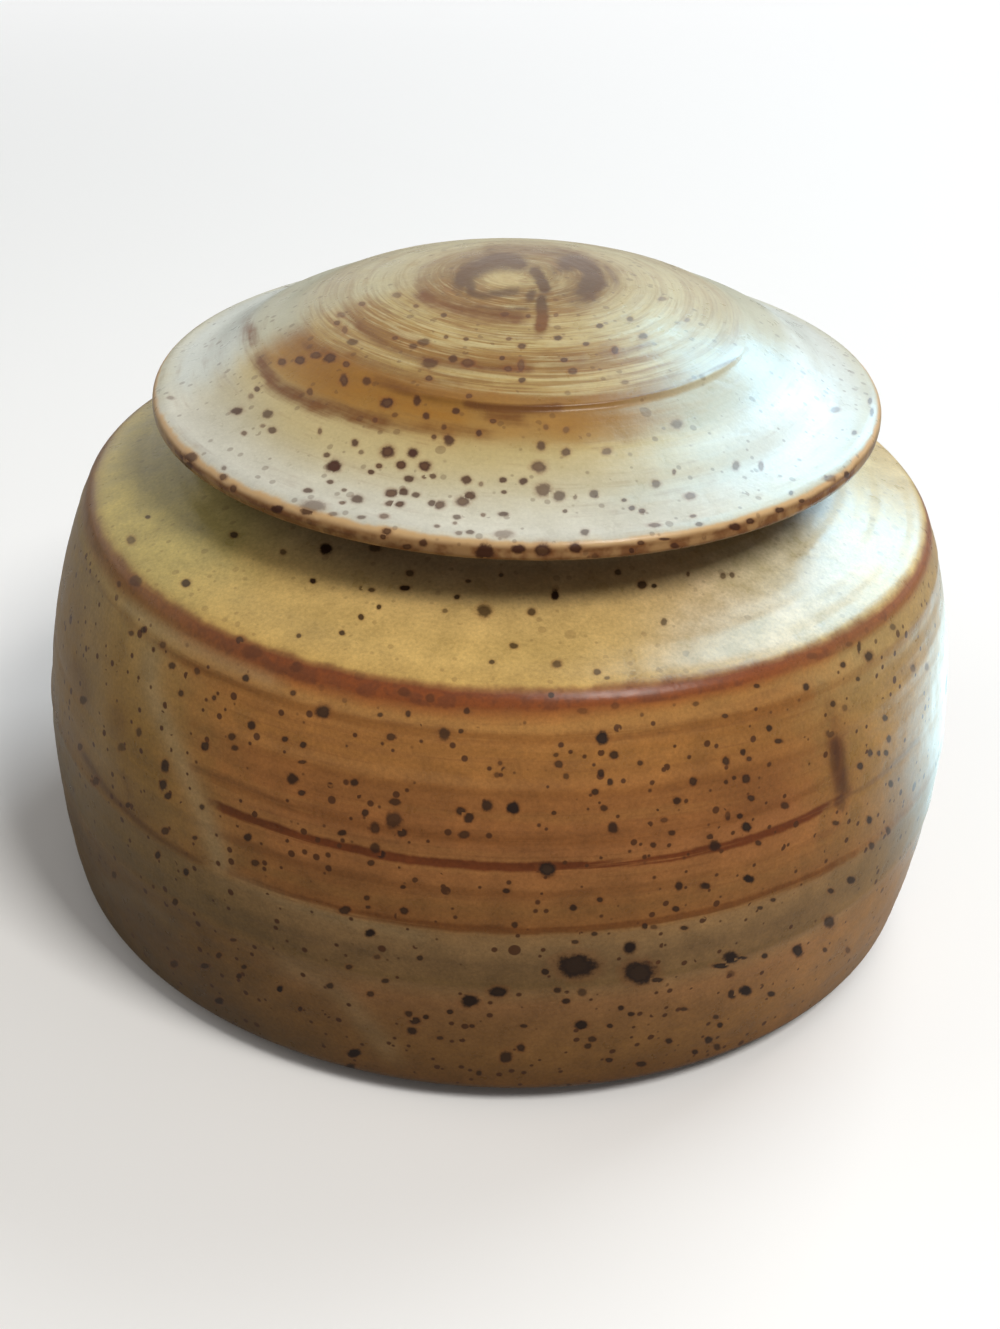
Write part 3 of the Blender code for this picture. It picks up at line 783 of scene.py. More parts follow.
def make_jar():
    """The jar's own mesh, with what its glaze needs to know on it.

    line is the height that the glaze's colours go by, wash where iron was brushed on,
    sage_and_left_shade where the glaze is more green and, on the left, painted cooler and darker
    as light falls there, painted_low_light_and_shade where the foot of the wall is painted
    lighter on the right and darker on the left, as light and shade fall there, and clay where
    there is no glaze.
    """
    jar = Thrown("glazed_jar", jar_section())
    jar.run -= jar.run[lip_row(np.stack([jar.radius, jar.height], axis=1))]
    outer = jar.run > 0
    outside = outer * step(36.5, 39.0, jar.radius) * step(2.2, 4.5, jar.height)
    jar.press(jar_relief(jar, outside))
    inside_wall = (jar.run < 0) * step(38, 44, jar.radius) * step(10, 14, jar.height)
    turn = jar.turn[None]
    rings = 0.12 * np.sin(2 * np.pi * jar.run[:, None] / 6.2 + turn)
    jar.press(inside_wall[:, None] * rings)
    jar.look()
    run = jar.run[:, None]
    height = jar.height[:, None]
    hand = waves(turn, (1, 0.10, 0.4), (2, 0.16, 0.5), (3, 0.12, 2.0), (7, 0.04, 1.0))
    side = jar.side[None]
    not_behind = step(175, 115, np.abs(side))
    rise = 1.2 * step(25, 60, side) * bell(height, 36, 4)
    thin_edge = 1.1 * step(-12, 36, side) * bell(height, 50.9, 1.1)
    glazed_line = height + hand - (rise + thin_edge) * not_behind
    jar.numbers["line"] = np.where(outer[:, None], glazed_line, 60.0)
    seen_rows = outer & (jar.radius > 36) & (jar.height > 2.5)
    for title, strokes in JAR_STROKES.items():
        jar.numbers[title] = brushed(jar, seen_rows, strokes)
    front_wash = np.minimum(side + 16 + 0.5 * height, 50.7 - 0.2 * height - side)
    back_wash = 68 + 3 * np.sin(height * 0.15) - np.abs(np.abs(side) - 180)
    jar.numbers["wash"] = np.clip(0.5 + np.maximum(front_wash, back_wash) / 24, 0, 1)
    # Partly the glaze's own more green tone, partly painted light: the left side is tinted cooler on the
    # shoulder and darker on the wall, as the light falls there.
    jar.numbers["sage_and_left_shade"] = step(-15, -80, side) * step(-165, -110, side)
    # Painted light and shade: the foot of the wall is painted lighter on the right, where the table's
    # light falls, and darker on the left, in shade.
    right_less_left = (step(15, 46, side) - step(-15, -40, side)) * not_behind
    jar.numbers["painted_low_light_and_shade"] = right_less_left * step(27, 13, height)
    lip_edge = 1.6 + 0.3 * np.sin(3 * turn) + 0.2 * np.sin(7 * turn + 1)
    on_lip = step(-3.4, -2.6, run) * step(lip_edge + 0.7, lip_edge, run)
    foot_edge = 2.1 + 0.25 * np.sin(4 * turn) + 0.15 * np.sin(9 * turn)
    under = (outer & (jar.radius < 56.5) & (jar.height < 8))[:, None]
    on_foot = under * step(foot_edge + 0.5, foot_edge - 0.3, height)
    jar.numbers["clay"] = np.maximum(on_lip, on_foot)
    dice = np.random.default_rng(SEED)
    spots = Spots()
    spots.from_photograph(jar, seen_rows, JAR_SPOTS, dice)
    away = (jar.facing < 0.05) & seen_rows[:, None]
    spots.scattered(jar, away, 240, (0.5, 5.0), dice)
    within = ((jar.run < -6) & (jar.height > 8))[:, None]
    spots.scattered(jar, within, 120, (0.5, 3.0), dice)
    piece = jar.piece()
    spots.lay_on(piece)
    return piece


# The lid

def lid_offsets(lid, top):
    """The lid's own unevenness, outward and upward in millimetres, for each row and column.

    The top leans: the right side stands higher, as a tilted plane through the axis. The ledge
    at the dome's foot is crisp only at the front right. Elsewhere the section gives way to its
    own running mean, which rounds the ledge off. Behind, the groove is shallower.
    """
    share = bell(lid.run[:, None] - lid.run[None], 0, 2.6) * np.abs(np.gradient(lid.run))[None]
    share = share / share.sum(axis=1)[:, None]
    near_ledge = bell(lid.radius, LEDGE_RADIUS_MM, 4.2) * top
    crisp = step(-34, -16, lid.side) * step(84, 74, lid.side) * step(90, 20, lid.side)
    outward, softened = (
        ((share @ along - along) * near_ledge)[:, None] * (1 - crisp)[None]
        for along in (lid.radius, lid.height))
    behind = 1 - step(-100, -60, lid.side) * step(115, 75, lid.side)
    filled = 0.7 * (bell(lid.radius, LEDGE_RADIUS_MM + 5, 3.2) * top)[:, None] * behind[None]
    carried = np.where(top, 1.0, step(38.0, 42.0, lid.radius))
    leaning = (LID_LEAN * carried * lid.radius)[:, None] * np.cos(lid.turn)[None]
    return outward, softened + filled + leaning


def lid_relief(lid, top):
    """How proud the lid's skin stands, in millimetres.

    The plate is dished a little between the groove and a crest just inside its rim, and more
    so on the right. Fine rings, sines of the radius, run over the dome.
    """
    radius, turn = lid.radius[:, None], lid.turn[None]
    deeper = step(5, 35, lid.side) * step(115, 85, lid.side)
    dish = -(0.28 + 0.22 * deeper[None]) * bell(radius, 38.0, 2.8) + 0.12 * bell(radius, 42.3, 0.8)
    rings = 0.011 * np.sin(2 * np.pi * radius / 3.1 + turn) + 0.006 * np.sin(2 * np.pi * radius / 1.3)
    on_dome = step(2.0, 6.0, radius) * step(27.0, 25.5, radius)
    wave = waves(turn, (2, 0.12, 0.3), (3, 0.08, 1.9), (5, 0.04, 0.2)) * step(20, 40, radius)
    return top[:, None] * (dish + rings * on_dome + wave)


def make_lid():
    """The lid's own mesh, with what its glaze needs to know on it.

    line is the radius that the glaze's colours go by, rim how far over the rim a place is,
    front the side that is browner, toast the side where the rim is toasted, and clay where
    there is no glaze.
    """
    lid = Thrown("glazed_lid", lid_section())
    rim = int(np.argmax(lid.radius))
    top = lid.run <= lid.run[rim]
    outward, upward = lid_offsets(lid, top)
    lid.places[..., :2] *= 1 + (outward / np.maximum(lid.radius, 1)[:, None])[..., None]
    lid.places[..., 2] += upward * MM
    lid.press(lid_relief(lid, top))
    lid.look()
    turn, radius, run = lid.turn[None], lid.radius[:, None], lid.run[:, None]
    side = lid.side[None]
    top_rows = np.arange(len(lid.run)) <= rim + 8
    hand = waves(turn, (1, 1.1, np.pi), (2, 0.25, 0.5), (3, 0.2, 2.0), (5, 0.08, 1.0))
    eccentric = hand * step(4, 20, radius) * step(43, 36, radius)
    lid.numbers["line"] = radius + eccentric
    lid.numbers["rim"] = np.clip((run - lid.run[rim]) / 2 + 1, 0, 1)
    for title, strokes in LID_STROKES.items():
        lid.numbers[title] = brushed(lid, top_rows, strokes)
    lid.numbers["front"] = step(-88, -62, side) * step(64, 4, side)
    lid.numbers["toast"] = step(-85, -55, side) * step(95, 60, side)
    seat = (lid.radius < 36.4) & (np.arange(len(lid.run)) > rim) & (lid.height < 67.2)
    lid.numbers["clay"] = seat[:, None] * step(36.4, 35.6, radius + 0.3 * np.sin(5 * turn))
    dice = np.random.default_rng(SEED + 1)
    spots = Spots()
    spots.from_photograph(lid, top_rows, LID_SPOTS, dice)
    back = (lid.facing < 0.05) & ((lid.run > lid.run[rim] - 6) & (lid.run < lid.run[rim] + 9))[:, None]
    spots.scattered(lid, back, 60, (0.6, 3.0), dice)
    piece = lid.piece()
    spots.lay_on(piece)
    return piece


# Paint

def tone(red, green, blue):
    """A colour given as it looks on a screen, 0 to 255, in the linear light that shaders use."""
    levels = np.array([red, green, blue]) / 255
    linear = np.where(levels < 0.04045, levels / 12.92, ((levels + 0.055) / 1.055) ** 2.4)
    return (*linear.tolist(), 1)


class Nodes:
    """A node tree, with one short call for each kind of sum that is made in it."""

    def __init__(self, tree):
        self.nodes, self.links = tree.nodes, tree.links

    def feed(self, socket, value):
        """Sets a socket to a plain value, or links it to another node's output."""
        if isinstance(value, bpy.types.NodeSocket):
            self.links.new(value, socket)
        else:
            socket.default_value = value

    def add(self, kind, feeds, **settings):
        """A new node with its settings and its inputs, which feeds gives by name or number."""
        node = self.nodes.new("ShaderNode" + kind)
        for key, value in settings.items():
            setattr(node, key, value)
        for key, value in feeds.items():
            self.feed(node.inputs[key], value)
        return node

    def math(self, operation, first, *others):
        """The first value and each of the others in turn, put through one operation."""
        for other in others:
            first = self.add("Math", {0: first, 1: other}, operation=operation).outputs[0]
        return first

    def times(self, *values):
        return self.math("MULTIPLY", *values)

    def plus(self, *values):
        return self.math("ADD", *values)

    def vector(self, operation, *values, scale=None):
        feeds = dict(enumerate(values))
        if scale is not None:
            feeds["Scale"] = scale
        node = self.add("VectorMath", feeds, operation=operation)
        return node.outputs["Value" if operation == "LENGTH" else "Vector"]

    def step(self, value, low, high):
        """A smooth step from 0 at low to 1 at high."""
        feeds = {0: value, 1: low, 2: high, 3: 0.0, 4: 1.0}
        return self.add("MapRange", feeds, interpolation_type="SMOOTHSTEP").outputs[0]

    def scaled(self, value, low, high, to_low, to_high):
        return self.add("MapRange", {0: value, 1: low, 2: high, 3: to_low, 4: to_high}).outputs[0]

    def between(self, share, to_low, to_high):
        """The level at a share, 0 to 1, of the way between two levels."""
        return self.scaled(share, 0, 1, to_low, to_high)

    def swung(self, noise, to_low, to_high):
        """A noise, which mostly lies between 0.3 and 0.7, spread between two levels."""
        return self.scaled(noise, 0.3, 0.7, to_low, to_high)

    def band(self, value, centre, half, soft):
        """1 within half of the centre, fading to 0 over soft."""
        away = self.math("SUBTRACT", value, centre)
        away = self.add("Math", {0: away}, operation="ABSOLUTE").outputs[0]
        return self.step(away, half + soft, half)

    def mix(self, share, low, high):
        return self.add("Mix", {0: share, 6: low, 7: high}, data_type="RGBA").outputs[2]

    def looked_at(self, elsewhere, level, mirrored=1):
        """One level where the camera, a mirror or glass looks, another for the light it gives.

        In a mirror the change is made only as far as mirrored, from 0 to 1.
        """
        path = self.add("LightPath", {}).outputs
        in_mirror = self.times(path["Is Glossy Ray"], mirrored)
        seen = self.math("MAXIMUM", path["Is Camera Ray"], in_mirror, path["Is Transmission Ray"])
        return self.between(seen, elsewhere, level)


class Paint(Nodes):
    """A material's nodes, with the noises, ramps and spots that the glazes use."""

    def __init__(self, name):
        self.material = bpy.data.materials.new(name)
        self.material.use_nodes = True
        super().__init__(self.material.node_tree)
        self.nodes.clear()
        self.shader = self.add("BsdfPrincipled", {})
        self.add("OutputMaterial", {0: self.shader.outputs[0]})
        self.place = self.vector("SCALE", self.add("TexCoord", {}).outputs["Object"], scale=1 / MM)

    def number(self, title):
        return self.add("Attribute", {}, attribute_name=title).outputs["Fac"]

    def toned(self, colour, value, spread):
        """The colour made darker and lighter by a noise, by up to spread either way."""
        return self.vector("SCALE", colour, scale=self.swung(value, 1 - spread, 1 + spread))

    def noise(self, where, scale, detail, roughness):
        feeds = {"Vector": where, "Scale": scale, "Detail": detail, "Roughness": roughness}
        return self.add("TexNoise", feeds).outputs[0]

    def streaks(self, along, turns, density, detail, roughness):
        """A noise drawn out round the axis, as a brush draws glaze on a turning pot."""
        return self.noise(self.round_the_axis(along, turns, density), 1.0, detail, roughness)

    def mottling(self, cloud_scale):
        """Three noises of the place: broad blotches, clouds of a few millimetres, and grain."""
        blotch, grain = (self.noise(self.place, *reach) for reach in ((0.07, 3.0, 0.55), (2.4, 3.0, 0.7)))
        return blotch, self.noise(self.place, cloud_scale, 3.0, 0.6), grain

    def ramp(self, value, length, stops):
        """A colour ramp along a length in millimetres: each stop its place, red, green and blue."""
        node = self.add("ValToRGB", {0: self.math("DIVIDE", value, length)})
        elements = node.color_ramp.elements
        while len(elements) < len(stops):
            elements.new(0.5)
        for element, (place, *colour) in zip(elements, stops):
            element.position = place / length
            element.color = tone(*colour)
        return node.outputs[0]

    def round_the_axis(self, along, turns, density):
        """A place for noise that runs round the axis: its direction from the axis times turns,
        and the distance along the section times density, so a streak is long one way only."""
        flat = self.vector("NORMALIZE", self.vector("MULTIPLY", self.place, (1, 1, 0)))
        wide = self.vector("SCALE", flat, scale=turns)
        rise = self.add("CombineXYZ", {2: self.times(along, density)}).outputs[0]
        return self.vector("ADD", wide, rise)

    def spot_masks(self):
        """The iron spots, 0 to 1: inside a spot, in its rusty halo, and in its paler middle."""
        local = self.add("UVMap", {}, uv_map="spot").outputs[0]
        kind = self.add("SeparateXYZ", {0: self.add("UVMap", {}, uv_map="spot_kind").outputs[0]})
        strength, chance = kind.outputs[0], kind.outputs[1]
        away = self.vector("LENGTH", local)
        ragged = self.math("SUBTRACT", self.noise(self.place, 1.1, 3.0, 0.6), 0.5)
        fine = self.math("SUBTRACT", self.noise(self.place, 2.6, 2.0, 0.6), 0.5)
        away = self.plus(away, self.times(ragged, 0.9), self.times(fine, 0.25))
        core = self.times(self.step(away, 1.20, 0.62), strength)
        halo = self.times(self.step(away, 1.75, 0.8), self.between(chance, 0.35, 0.8))
        middle = self.times(self.step(away, 0.75, 0.35), self.step(chance, 0.35, 0.75))
        return core, halo, middle

    def speckles(self, cell, smallest, largest, share, crowd):
        """Small specks, one at most in each cell of a scatter, each with its own radius.

        Lengths are in millimetres. A cell has its speck by a chance of the crowd times the share.
        """
        node = self.add("TexVoronoi", {"Vector": self.place, "Scale": 1 / cell})
        away = self.times(node.outputs["Distance"], cell)
        luck = self.add("SeparateColor", {0: node.outputs["Color"]})
        spread = self.math("POWER", luck.outputs[0], 2.5)
        radius = self.between(spread, smallest, largest)
        inside = self.math("SUBTRACT", radius, away)
        chosen = self.step(self.math("SUBTRACT", self.times(crowd, share), luck.outputs[1]), 0, 0.04)
        return self.times(self.step(inside, -0.06, 0.10), chosen)


CLAY_LIGHT = tone(176, 141, 104)
CLAY_DARK = tone(138, 101, 68)
SPECK = tone(78, 45, 22)
RUST = tone(128, 72, 32)

# The jar's glaze by height in millimetres, where iron was brushed on and where it wasn't: each
# stop is its height, red, green and blue. The stops from 58.5 mm up colour the neck, in the lid's
# shade, and the whole inside; their grey-blue tint is painted cool light of that shade.
SECTION_TOP = 62
WASHED = (
    (0, 104, 70, 32), (3, 120, 80, 34), (6, 132, 91, 42), (9, 140, 98, 49), (13.5, 141, 99, 54),
    (16, 152, 107, 62), (18, 152, 114, 69), (19, 128, 97, 56), (22, 127, 97, 59),
    (24, 142, 110, 69), (25.6, 158, 121, 75), (26.4, 148, 106, 58), (27, 143, 92, 42),
    (29, 145, 98, 47), (32, 158, 103, 52), (36, 162, 104, 54), (39, 156, 99, 47), (42, 154, 99, 47),
    (45, 164, 110, 50), (47.4, 166, 111, 51), (49.4, 171, 121, 60), (50.4, 158, 98, 46),
    (51.1, 137, 72, 28), (52.3, 130, 66, 26), (53.0, 192, 157, 90), (54.2, 200, 167, 101),
    (56.4, 192, 161, 102), (58.5, 160, 142, 108), (62, 156, 142, 112),
)
BARE_GLAZE = (
    (0, 108, 80, 40), (8, 136, 98, 50), (17.6, 146, 107, 58), (18.6, 150, 114, 66),
    (19.8, 132, 104, 62), (25, 136, 107, 64), (27, 142, 104, 54), (30, 148, 112, 60),
    (36, 158, 117, 52), (44, 168, 131, 72), (49.6, 174, 143, 88), (50.8, 150, 102, 54),
    (51.8, 136, 80, 38), (52.4, 142, 88, 46), (53.1, 186, 162, 98), (56.4, 184, 166, 104),
    (58.5, 158, 144, 108), (62, 154, 142, 112),
)


def ochre_glaze():
    """The jar: ochre on the shoulder, a rust edge, brushed iron on the wall, a grey-green band."""
    paint = Paint("ochre_glaze")
    line, wash, pale, iron_and_shade = map(paint.number, ("line", "wash", "pale", "iron_and_shade"))
    long_streaks = paint.streaks(line, 1.3, 0.34, 4.0, 0.55)
    fine_streaks = paint.streaks(line, 2.6, 1.5, 3.0, 0.55)
    blotch, cloud, grain = paint.mottling(0.27)

    torn = paint.plus(wash, paint.swung(cloud, -0.12, 0.12))
    washed = paint.step(torn, 0.05, 0.95)
    lined = paint.step(torn, 0.42, 0.60)
    wavy = paint.plus(line, paint.swung(cloud, -0.16, 0.16))
    bare_colour = paint.ramp(wavy, SECTION_TOP, BARE_GLAZE)
    colour = paint.mix(washed, bare_colour, paint.ramp(wavy, SECTION_TOP, WASHED))
    rusty = paint.band(wavy, 51.6, 0.5, 0.6)
    mottled = paint.times(rusty, paint.step(cloud, 0.49, 0.60), 0.55)
    colour = paint.mix(mottled, colour, tone(92, 50, 28))

    below_edge = paint.step(line, 50.6, 48.8)
    on_wall = paint.times(below_edge, paint.step(line, 26.2, 27.4), paint.between(lined, 0.3, 1.0))
    for noise, low, high, share, shade in (
        (long_streaks, 0.52, 0.66, 0.32, tone(132, 80, 34)),
        (long_streaks, 0.46, 0.34, 0.30, tone(170, 120, 62)),
        (fine_streaks, 0.56, 0.70, 0.28, tone(124, 74, 32)),
    ):
        streak = paint.times(on_wall, paint.step(noise, low, high), share)
        colour = paint.mix(streak, colour, shade)

    colour = paint.mix(paint.times(below_edge, 0.07), colour, tone(140, 112, 96))
    broken = paint.step(fine_streaks, 0.28, 0.48)
    for height, half, soft, strength, bare_share, shade in (
        (48.25, 0.22, 0.6, 0.60, 0.5, tone(136, 84, 34)),
        (42.4, 0.12, 0.7, 0.25, 0.1, tone(130, 78, 32)),
        (37.4, 0.15, 0.7, 0.45, 0.0, tone(126, 74, 30)),
        (34.4, 0.30, 0.45, 0.95, 0.0, tone(104, 50, 18)),
        (31.2, 0.15, 0.7, 0.35, 0.0, tone(128, 76, 32)),
        (26.7, 0.20, 0.5, 0.80, 0.3, tone(108, 62, 24)),
        (19.1, 0.15, 0.5, 0.30, 0.5, tone(110, 84, 48)),
        (52.5, 0.10, 0.4, 0.50, 0.8, tone(112, 56, 24)),
    ):
        band = paint.band(wavy, height, half, soft)
        mask = paint.times(band, broken, paint.between(lined, bare_share, 1), strength)
        colour = paint.mix(mask, colour, shade)

    on_shoulder = paint.step(line, 52.8, 53.6)
    # On the left the glaze turns more green on the shoulder and darker on the wall: partly its own colour,
    # partly painted cool light and shade.
    greener_and_shaded = paint.mix(on_shoulder, tone(112, 88, 30), tone(166, 156, 92))
    colour = paint.mix(paint.times(paint.number("sage_and_left_shade"), 0.5), colour, greener_and_shaded)
    # Painted sheen: the shoulder's right is painted pale off-white where the window's reflection falls.
    painted_shoulder_sheen = paint.times(paint.number("cream_and_sheen"), on_shoulder, paint.swung(cloud, 0.55, 0.95))
    colour = paint.mix(painted_shoulder_sheen, colour, tone(216, 210, 190))
    colour = paint.mix(paint.times(pale, 0.66), colour, tone(166, 142, 102))
    # Painted light and shade at the foot of the wall: lighter on the right, darker on the left.
    colour = paint.vector("SCALE", colour, scale=paint.scaled(paint.number("painted_low_light_and_shade"), -1, 1, 0.62, 1.38))
    smeared = paint.plus(iron_and_shade, paint.swung(cloud, -0.1, 0.1))
    colour = paint.mix(paint.times(paint.step(smeared, 0.05, 1.0), 0.95), colour, tone(74, 40, 18))
    for noise, spread in ((blotch, 0.10), (cloud, 0.14), (grain, 0.15)):
        colour = paint.toned(colour, noise, spread)
    finish(paint, colour, grain, cloud, fine_streaks, tone(36, 20, 10), 0.08,
           paint.between(below_edge, 0.25, 0.92))
    return paint.material


# The lid's glaze by radius in millimetres, at the front and behind, in the same way
PLATE_EDGE = 44
LID_FRONT = (
    (0, 148, 126, 76), (2.5, 160, 140, 90), (5, 150, 126, 74), (7, 130, 98, 48),
    (9.5, 134, 104, 52), (11.8, 138, 106, 52), (13.4, 166, 143, 90), (17.6, 171, 150, 97),
    (19.6, 156, 125, 68), (21.5, 134, 98, 44), (22.8, 150, 117, 62), (24.2, 176, 153, 98),
    (25.6, 166, 139, 84), (27.0, 136, 94, 36), (30.2, 150, 106, 32), (31.4, 156, 116, 48),
    (32.6, 184, 163, 110), (34.5, 190, 176, 136), (37.5, 191, 183, 155), (40, 194, 190, 172),
    (42.5, 197, 195, 182), (44, 200, 190, 162),
)
# From 34 mm out this ramp's blue-white is partly painted reflection of the window, over the plate's warm
# off-white glaze.
LID_BACK = (
    (0, 146, 126, 80), (5, 134, 108, 58), (8, 122, 94, 48), (10.6, 138, 114, 68),
    (13, 170, 157, 118), (18, 180, 172, 136), (22.5, 172, 161, 126), (25, 172, 164, 132),
    (28, 178, 176, 150), (31.5, 176, 174, 150), (34, 199, 204, 194), (40, 198, 202, 193),
    (43, 186, 182, 156),
)


def cream_glaze():
    """The lid: cream over brown brushed rings, a honey groove, and a toasted rim."""
    paint = Paint("cream_glaze")
    line, rim, front = map(paint.number, ("line", "rim", "front"))
    arcs = paint.streaks(line, 1.2, 0.62, 4.0, 0.6)
    fine_arcs = paint.streaks(line, 2.6, 1.3, 3.0, 0.6)
    hair_arcs = paint.streaks(line, 2.2, 2.9, 2.0, 0.5)
    blotch, cloud, grain = paint.mottling(0.34)

    wavy = paint.plus(line, paint.swung(cloud, -0.35, 0.35))
    patchy = paint.plus(front, paint.swung(arcs, -0.15, 0.15))
    back, front_side = (paint.ramp(wavy, PLATE_EDGE, stops) for stops in (LID_BACK, LID_FRONT))
    colour = paint.mix(paint.step(patchy, 0, 1), back, front_side)
    colour = paint.mix(paint.times(paint.number("khaki"), 0.8), colour, tone(182, 163, 112))
    on_dome = paint.times(paint.step(line, 27.6, 25.5), paint.step(rim, 0.3, 0.1))
    brushed_side = paint.times(on_dome, paint.between(front, 0.45, 1.0))
    for noise, low, high, share, shade in (
        (arcs, 0.50, 0.64, 0.56, tone(128, 90, 42)),
        (fine_arcs, 0.52, 0.66, 0.46, tone(122, 84, 40)),
        (fine_arcs, 0.48, 0.34, 0.46, tone(192, 178, 132)),
        (arcs, 0.46, 0.32, 0.55, tone(186, 172, 124)),
        (hair_arcs, 0.54, 0.64, 0.42, tone(116, 78, 38)),
        (hair_arcs, 0.46, 0.36, 0.34, tone(200, 188, 146)),
    ):
        arc = paint.times(brushed_side, paint.step(noise, low, high), share)
        colour = paint.mix(arc, colour, shade)

    uneven = paint.times(paint.swung(fine_arcs, 0.65, 1.15), paint.swung(cloud, 0.75, 1.1))
    past_dome = paint.step(line, 26.4, 28.0)
    honeyed = paint.times(paint.number("honey"), uneven, paint.between(past_dome, 0.5, 1.0))
    colour = paint.mix(honeyed, colour, tone(148, 101, 34))
    # The dark strokes here also hold painted shade along the ledge and just under it.
    ragged = paint.plus(paint.number("iron_and_shade"), paint.swung(cloud, -0.14, 0.14),
                        paint.swung(fine_arcs, 0.16, -0.16))
    stroke = paint.mix(paint.step(line, 9, 14), tone(88, 60, 26), tone(108, 66, 20))
    colour = paint.mix(paint.step(ragged, 0.0, 0.72), colour, stroke)
    colour = paint.mix(paint.times(paint.number("cream_and_sheen"), 0.7), colour, tone(184, 166, 118))
    for noise, spread in ((blotch, 0.07), (cloud, 0.05), (grain, 0.06)):
        colour = paint.toned(colour, noise, spread)

    toasted = paint.mix(paint.step(cloud, 0.40, 0.62), tone(120, 78, 42), tone(160, 122, 78))
    toasted = paint.mix(paint.number("toast"), tone(178, 160, 120), toasted)
    edge = paint.plus(rim, paint.swung(cloud, -0.10, 0.10))
    colour = paint.mix(paint.step(edge, 0.14, 0.42), colour, tone(200, 165, 118))
    colour = paint.mix(paint.step(edge, 0.45, 0.80), colour, toasted)
    finish(paint, colour, grain, cloud, fine_arcs, tone(62, 30, 8), 0.2, 0.38)
    return paint.material


def finish(paint, colour, grain, cloud, streaks, spot_colour, middle_share, speck_share):
    """Bare clay where there is no glaze, specks and iron spots over both, gloss and small bumps.

    The middle share is how much paler some spots are in the middle, and the speck share is how
    dark the small specks are.
    """
    clay = paint.number("clay")
    torn = paint.step(paint.plus(clay, paint.swung(grain, -0.2, 0.2)), 0.4, 0.6)
    toast = paint.times(paint.step(clay, 0.02, 0.35), paint.step(clay, 0.98, 0.6), 0.6)
    colour = paint.mix(toast, colour, tone(120, 72, 40))
    colour = paint.mix(torn, colour, paint.mix(grain, CLAY_DARK, CLAY_LIGHT))
    crowd = paint.step(cloud, 0.40, 0.62)
    specks = paint.speckles(1.4, 0.21, 0.48, 0.72, paint.between(crowd, 0.45, 1))
    dots = paint.speckles(3.6, 0.25, 0.80, 0.38, paint.between(crowd, 0.5, 1))
    small = paint.math("MAXIMUM", specks, dots)
    colour = paint.mix(paint.times(small, speck_share), colour, SPECK)
    core, halo, middle = paint.spot_masks()
    colour = paint.mix(paint.times(halo, 0.5), colour, RUST)
    paler = paint.times(middle, middle_share)
    colour = paint.mix(core, colour, paint.mix(paler, spot_colour, tone(132, 98, 62)))
    paint.feed(paint.shader.inputs["Base Color"], colour)
    paint.shader.inputs["Specular IOR Level"].default_value = 0.25
    rough = paint.plus(paint.swung(cloud, 0.26, 0.36), paint.times(core, 0.12), paint.times(torn, 0.46))
    paint.feed(paint.shader.inputs["Roughness"], rough)
    height = paint.plus(paint.times(grain, 0.06), paint.times(cloud, 0.35), paint.times(streaks, 0.08))
    bump = paint.add("Bump", {"Strength": 0.5, "Distance": 0.4 * MM, "Height": height})
    paint.feed(paint.shader.inputs["Normal"], bump.outputs[0])


# The room's levels of light, where 1 is white, and the place that its lamps face, in metres
ROOM_LEVEL = 0.24
LAMP_TARGET = Vector((0, 0, 0.04))

# The floor's levels, where it fades into the background, and its glare, in millimetres
FLOOR_LEVEL = 0.25
FLOOR_SEEN = 0.88
FLOOR_MIRRORED = 0.1
FLOOR_FADE = (220, 700)
GLARE = 4.9
GLARE_CENTRE = (105, 42, 0)
GLARE_RADII = (90, 72)


def lamp(name, aim, distance, width, level, colour, lights=True, shines=True, tall=1):
    """A soft lamp that faces the jar, and lights it, shows in its gloss, or both.

    Lengths are in metres. The level is the light that it gives a white surface that faces it,
    where 1 shows as white: the lamp's power is pi squared times the distance squared times the
    level.
    """
    data = bpy.data.lights.new(name, "AREA")
    data.shape = "RECTANGLE"
    data.size = width
    data.size_y = width * tall
    data.energy = math.pi ** 2 * distance ** 2 * level
    data.color = colour
    way = Vector(aim).normalized()
    hung = placed(name, data)
    hung.location = LAMP_TARGET + way * distance
    hung.rotation_euler = way.to_track_quat("Z", "Y").to_euler()
    hung.visible_diffuse = lights
    hung.visible_glossy = shines
    return hung


def light_room():
    """A pale room: even light all round, a window behind on the right, and soft light in front.

    The window lights the jar with one lamp, and shows in its gloss with three. The left wall
    and the table give back a little warm light.
    """
    world = bpy.data.worlds.new("pale_room")
    world.use_nodes = True
    bpy.context.scene.world = world
    sky = Nodes(world.node_tree)
    background = sky.nodes["Background"].inputs
    background["Color"].default_value = (1, 1, 1, 1)
    sky.feed(background["Strength"], sky.looked_at(ROOM_LEVEL, 1))
    lamp("window", (0.43, 0.60, 0.67), 0.9, 0.50, 0.54, (0.92, 0.97, 1.0), shines=False)
    lamp("window_shine", (0.516, 0.685, 0.515), 0.9, 0.18, 0.57, (0.34, 0.70, 1.0), lights=False, tall=2.6)
    lamp("window_side", (0.320, 0.720, 0.616), 0.9, 0.14, 0.18, (0.36, 0.76, 1.0), lights=False, tall=1.6)
    lamp("window_top", (0.440, 0.340, 0.829), 0.9, 0.30, 0.40, (0.30, 0.76, 1.0), lights=False)
    lamp("left_wall", (-0.80, -0.05, 0.50), 1.0, 0.60, 0.16, (1.0, 0.94, 0.84), shines=False)
    lamp("key", (0.375, -0.434, 0.82), 0.8, 0.24, 0.68, (1.0, 0.97, 0.92))
    bounce = lamp("table_bounce", (1, -0.53, 0), 0.096, 0.07, 0.07, (1.0, 0.84, 0.5), shines=False)
    bounce.location.z = 2 * MM
    bounce.rotation_euler = (math.pi, 0, 0)
    bounce.visible_camera = False


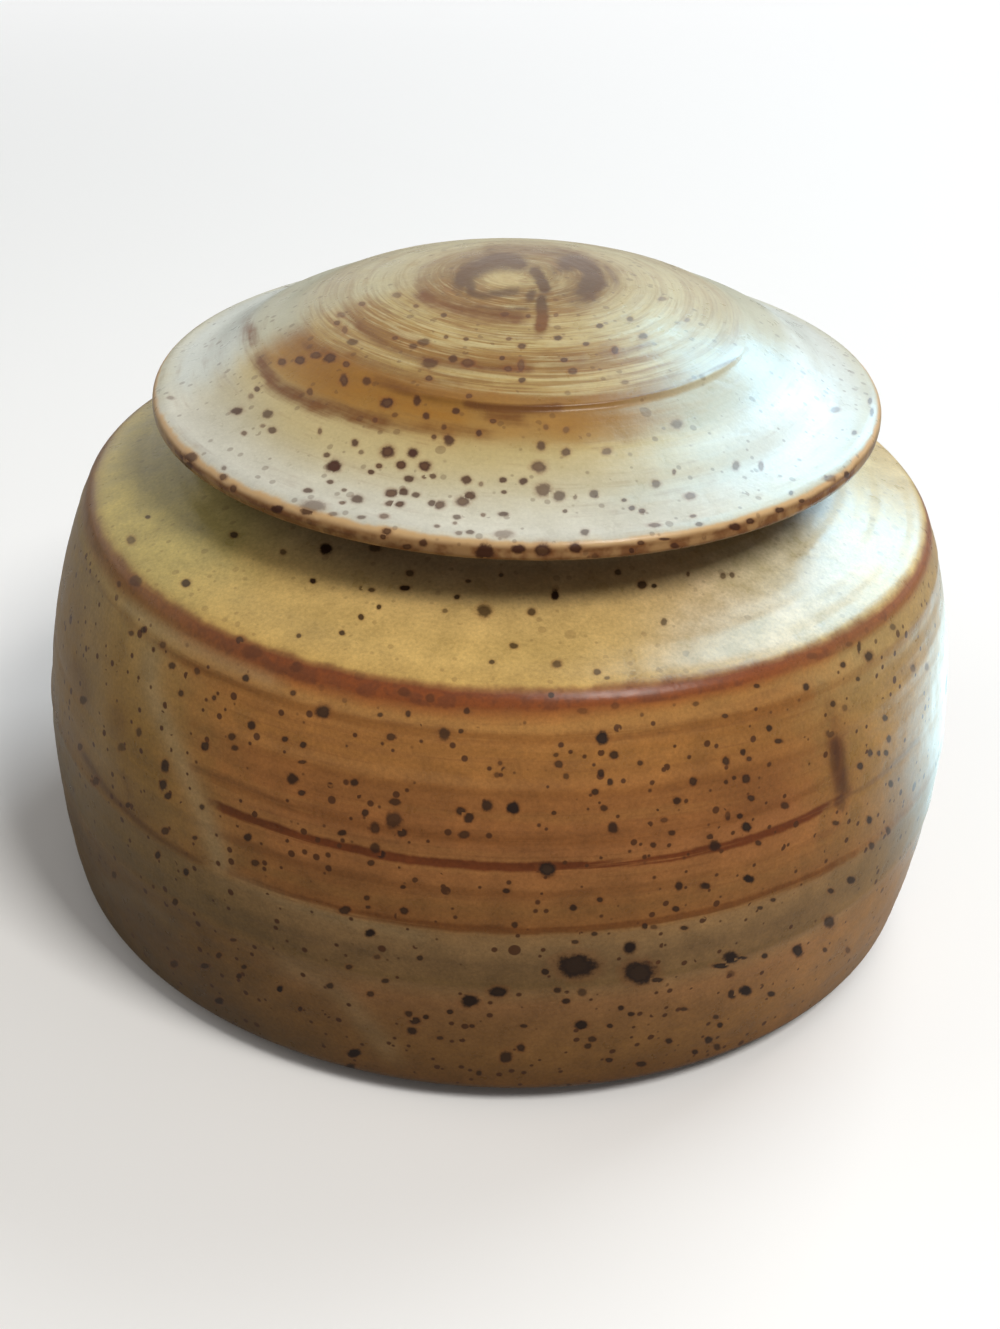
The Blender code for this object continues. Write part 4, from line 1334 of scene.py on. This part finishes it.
def lay_floor():
    """A pale round floor, as a disc of rings and spokes.

    Far off it turns into the white of the background. In the jar's gloss a patch of it on the
    right shines, as a table top does by a window.
    """
    radii, spokes = (0.1, 0.3, 1, 4.0), 64
    around = np.arange(spokes)
    turn = around * 2 * np.pi / spokes
    rings = [np.stack([r * np.cos(turn), r * np.sin(turn), 0 * turn], axis=1) for r in radii]
    points = np.concatenate([np.zeros((1, 3)), *rings])
    sides = list(zip(around, (around + 1) % spokes))
    faces = [(0, 1 + a, 1 + b) for a, b in sides]
    for near in 1 + spokes * np.arange(len(radii) - 1):
        far = near + spokes
        faces += [(near + a, far + a, far + b, near + b) for a, b in sides]
    mesh = bpy.data.meshes.new("studio_floor")
    mesh.from_pydata(points.tolist(), [], faces)
    floor = placed("studio_floor", mesh)
    paint = Paint("studio_floor")
    inputs = paint.shader.inputs
    inputs["Roughness"].default_value = 0.9
    inputs["Specular IOR Level"].default_value = 0.1
    path = paint.add("LightPath", {}).outputs
    mirrored = path["Is Glossy Ray"]
    far = paint.times(paint.step(paint.vector("LENGTH", paint.place), *FLOOR_FADE), path["Is Camera Ray"])
    level = paint.looked_at(FLOOR_LEVEL, FLOOR_SEEN, FLOOR_MIRRORED)
    paint.feed(inputs["Base Color"], paint.times(level, paint.math("SUBTRACT", 1.0, far)))
    from_centre = paint.vector("SUBTRACT", paint.place, GLARE_CENTRE)
    in_radii = paint.vector("MULTIPLY", from_centre, tuple(1 / radius for radius in GLARE_RADII) + (0,))
    glare = paint.times(paint.step(paint.vector("LENGTH", in_radii), 1, 0), mirrored, GLARE)
    paint.feed(inputs["Emission Color"], paint.mix(mirrored, (1, 1, 1, 1), (0.6, 0.9, 1, 1)))
    paint.feed(inputs["Emission Strength"], paint.plus(far, glare))
    paint.material.cycles.emission_sampling = "NONE"
    mesh.materials.append(paint.material)


def dress(piece, material, node, body):
    """Gives a piece its glaze, and puts it in its CAD node's place on its body."""
    piece.data.materials.append(material)
    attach(piece, body)
    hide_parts(node)


dress(make_jar(), ochre_glaze(), "jar_body", "jar")
dress(make_lid(), cream_glaze(), "lid", "lid")
lay_floor()
light_room()
bpy.context.scene.view_settings.view_transform = "Standard"
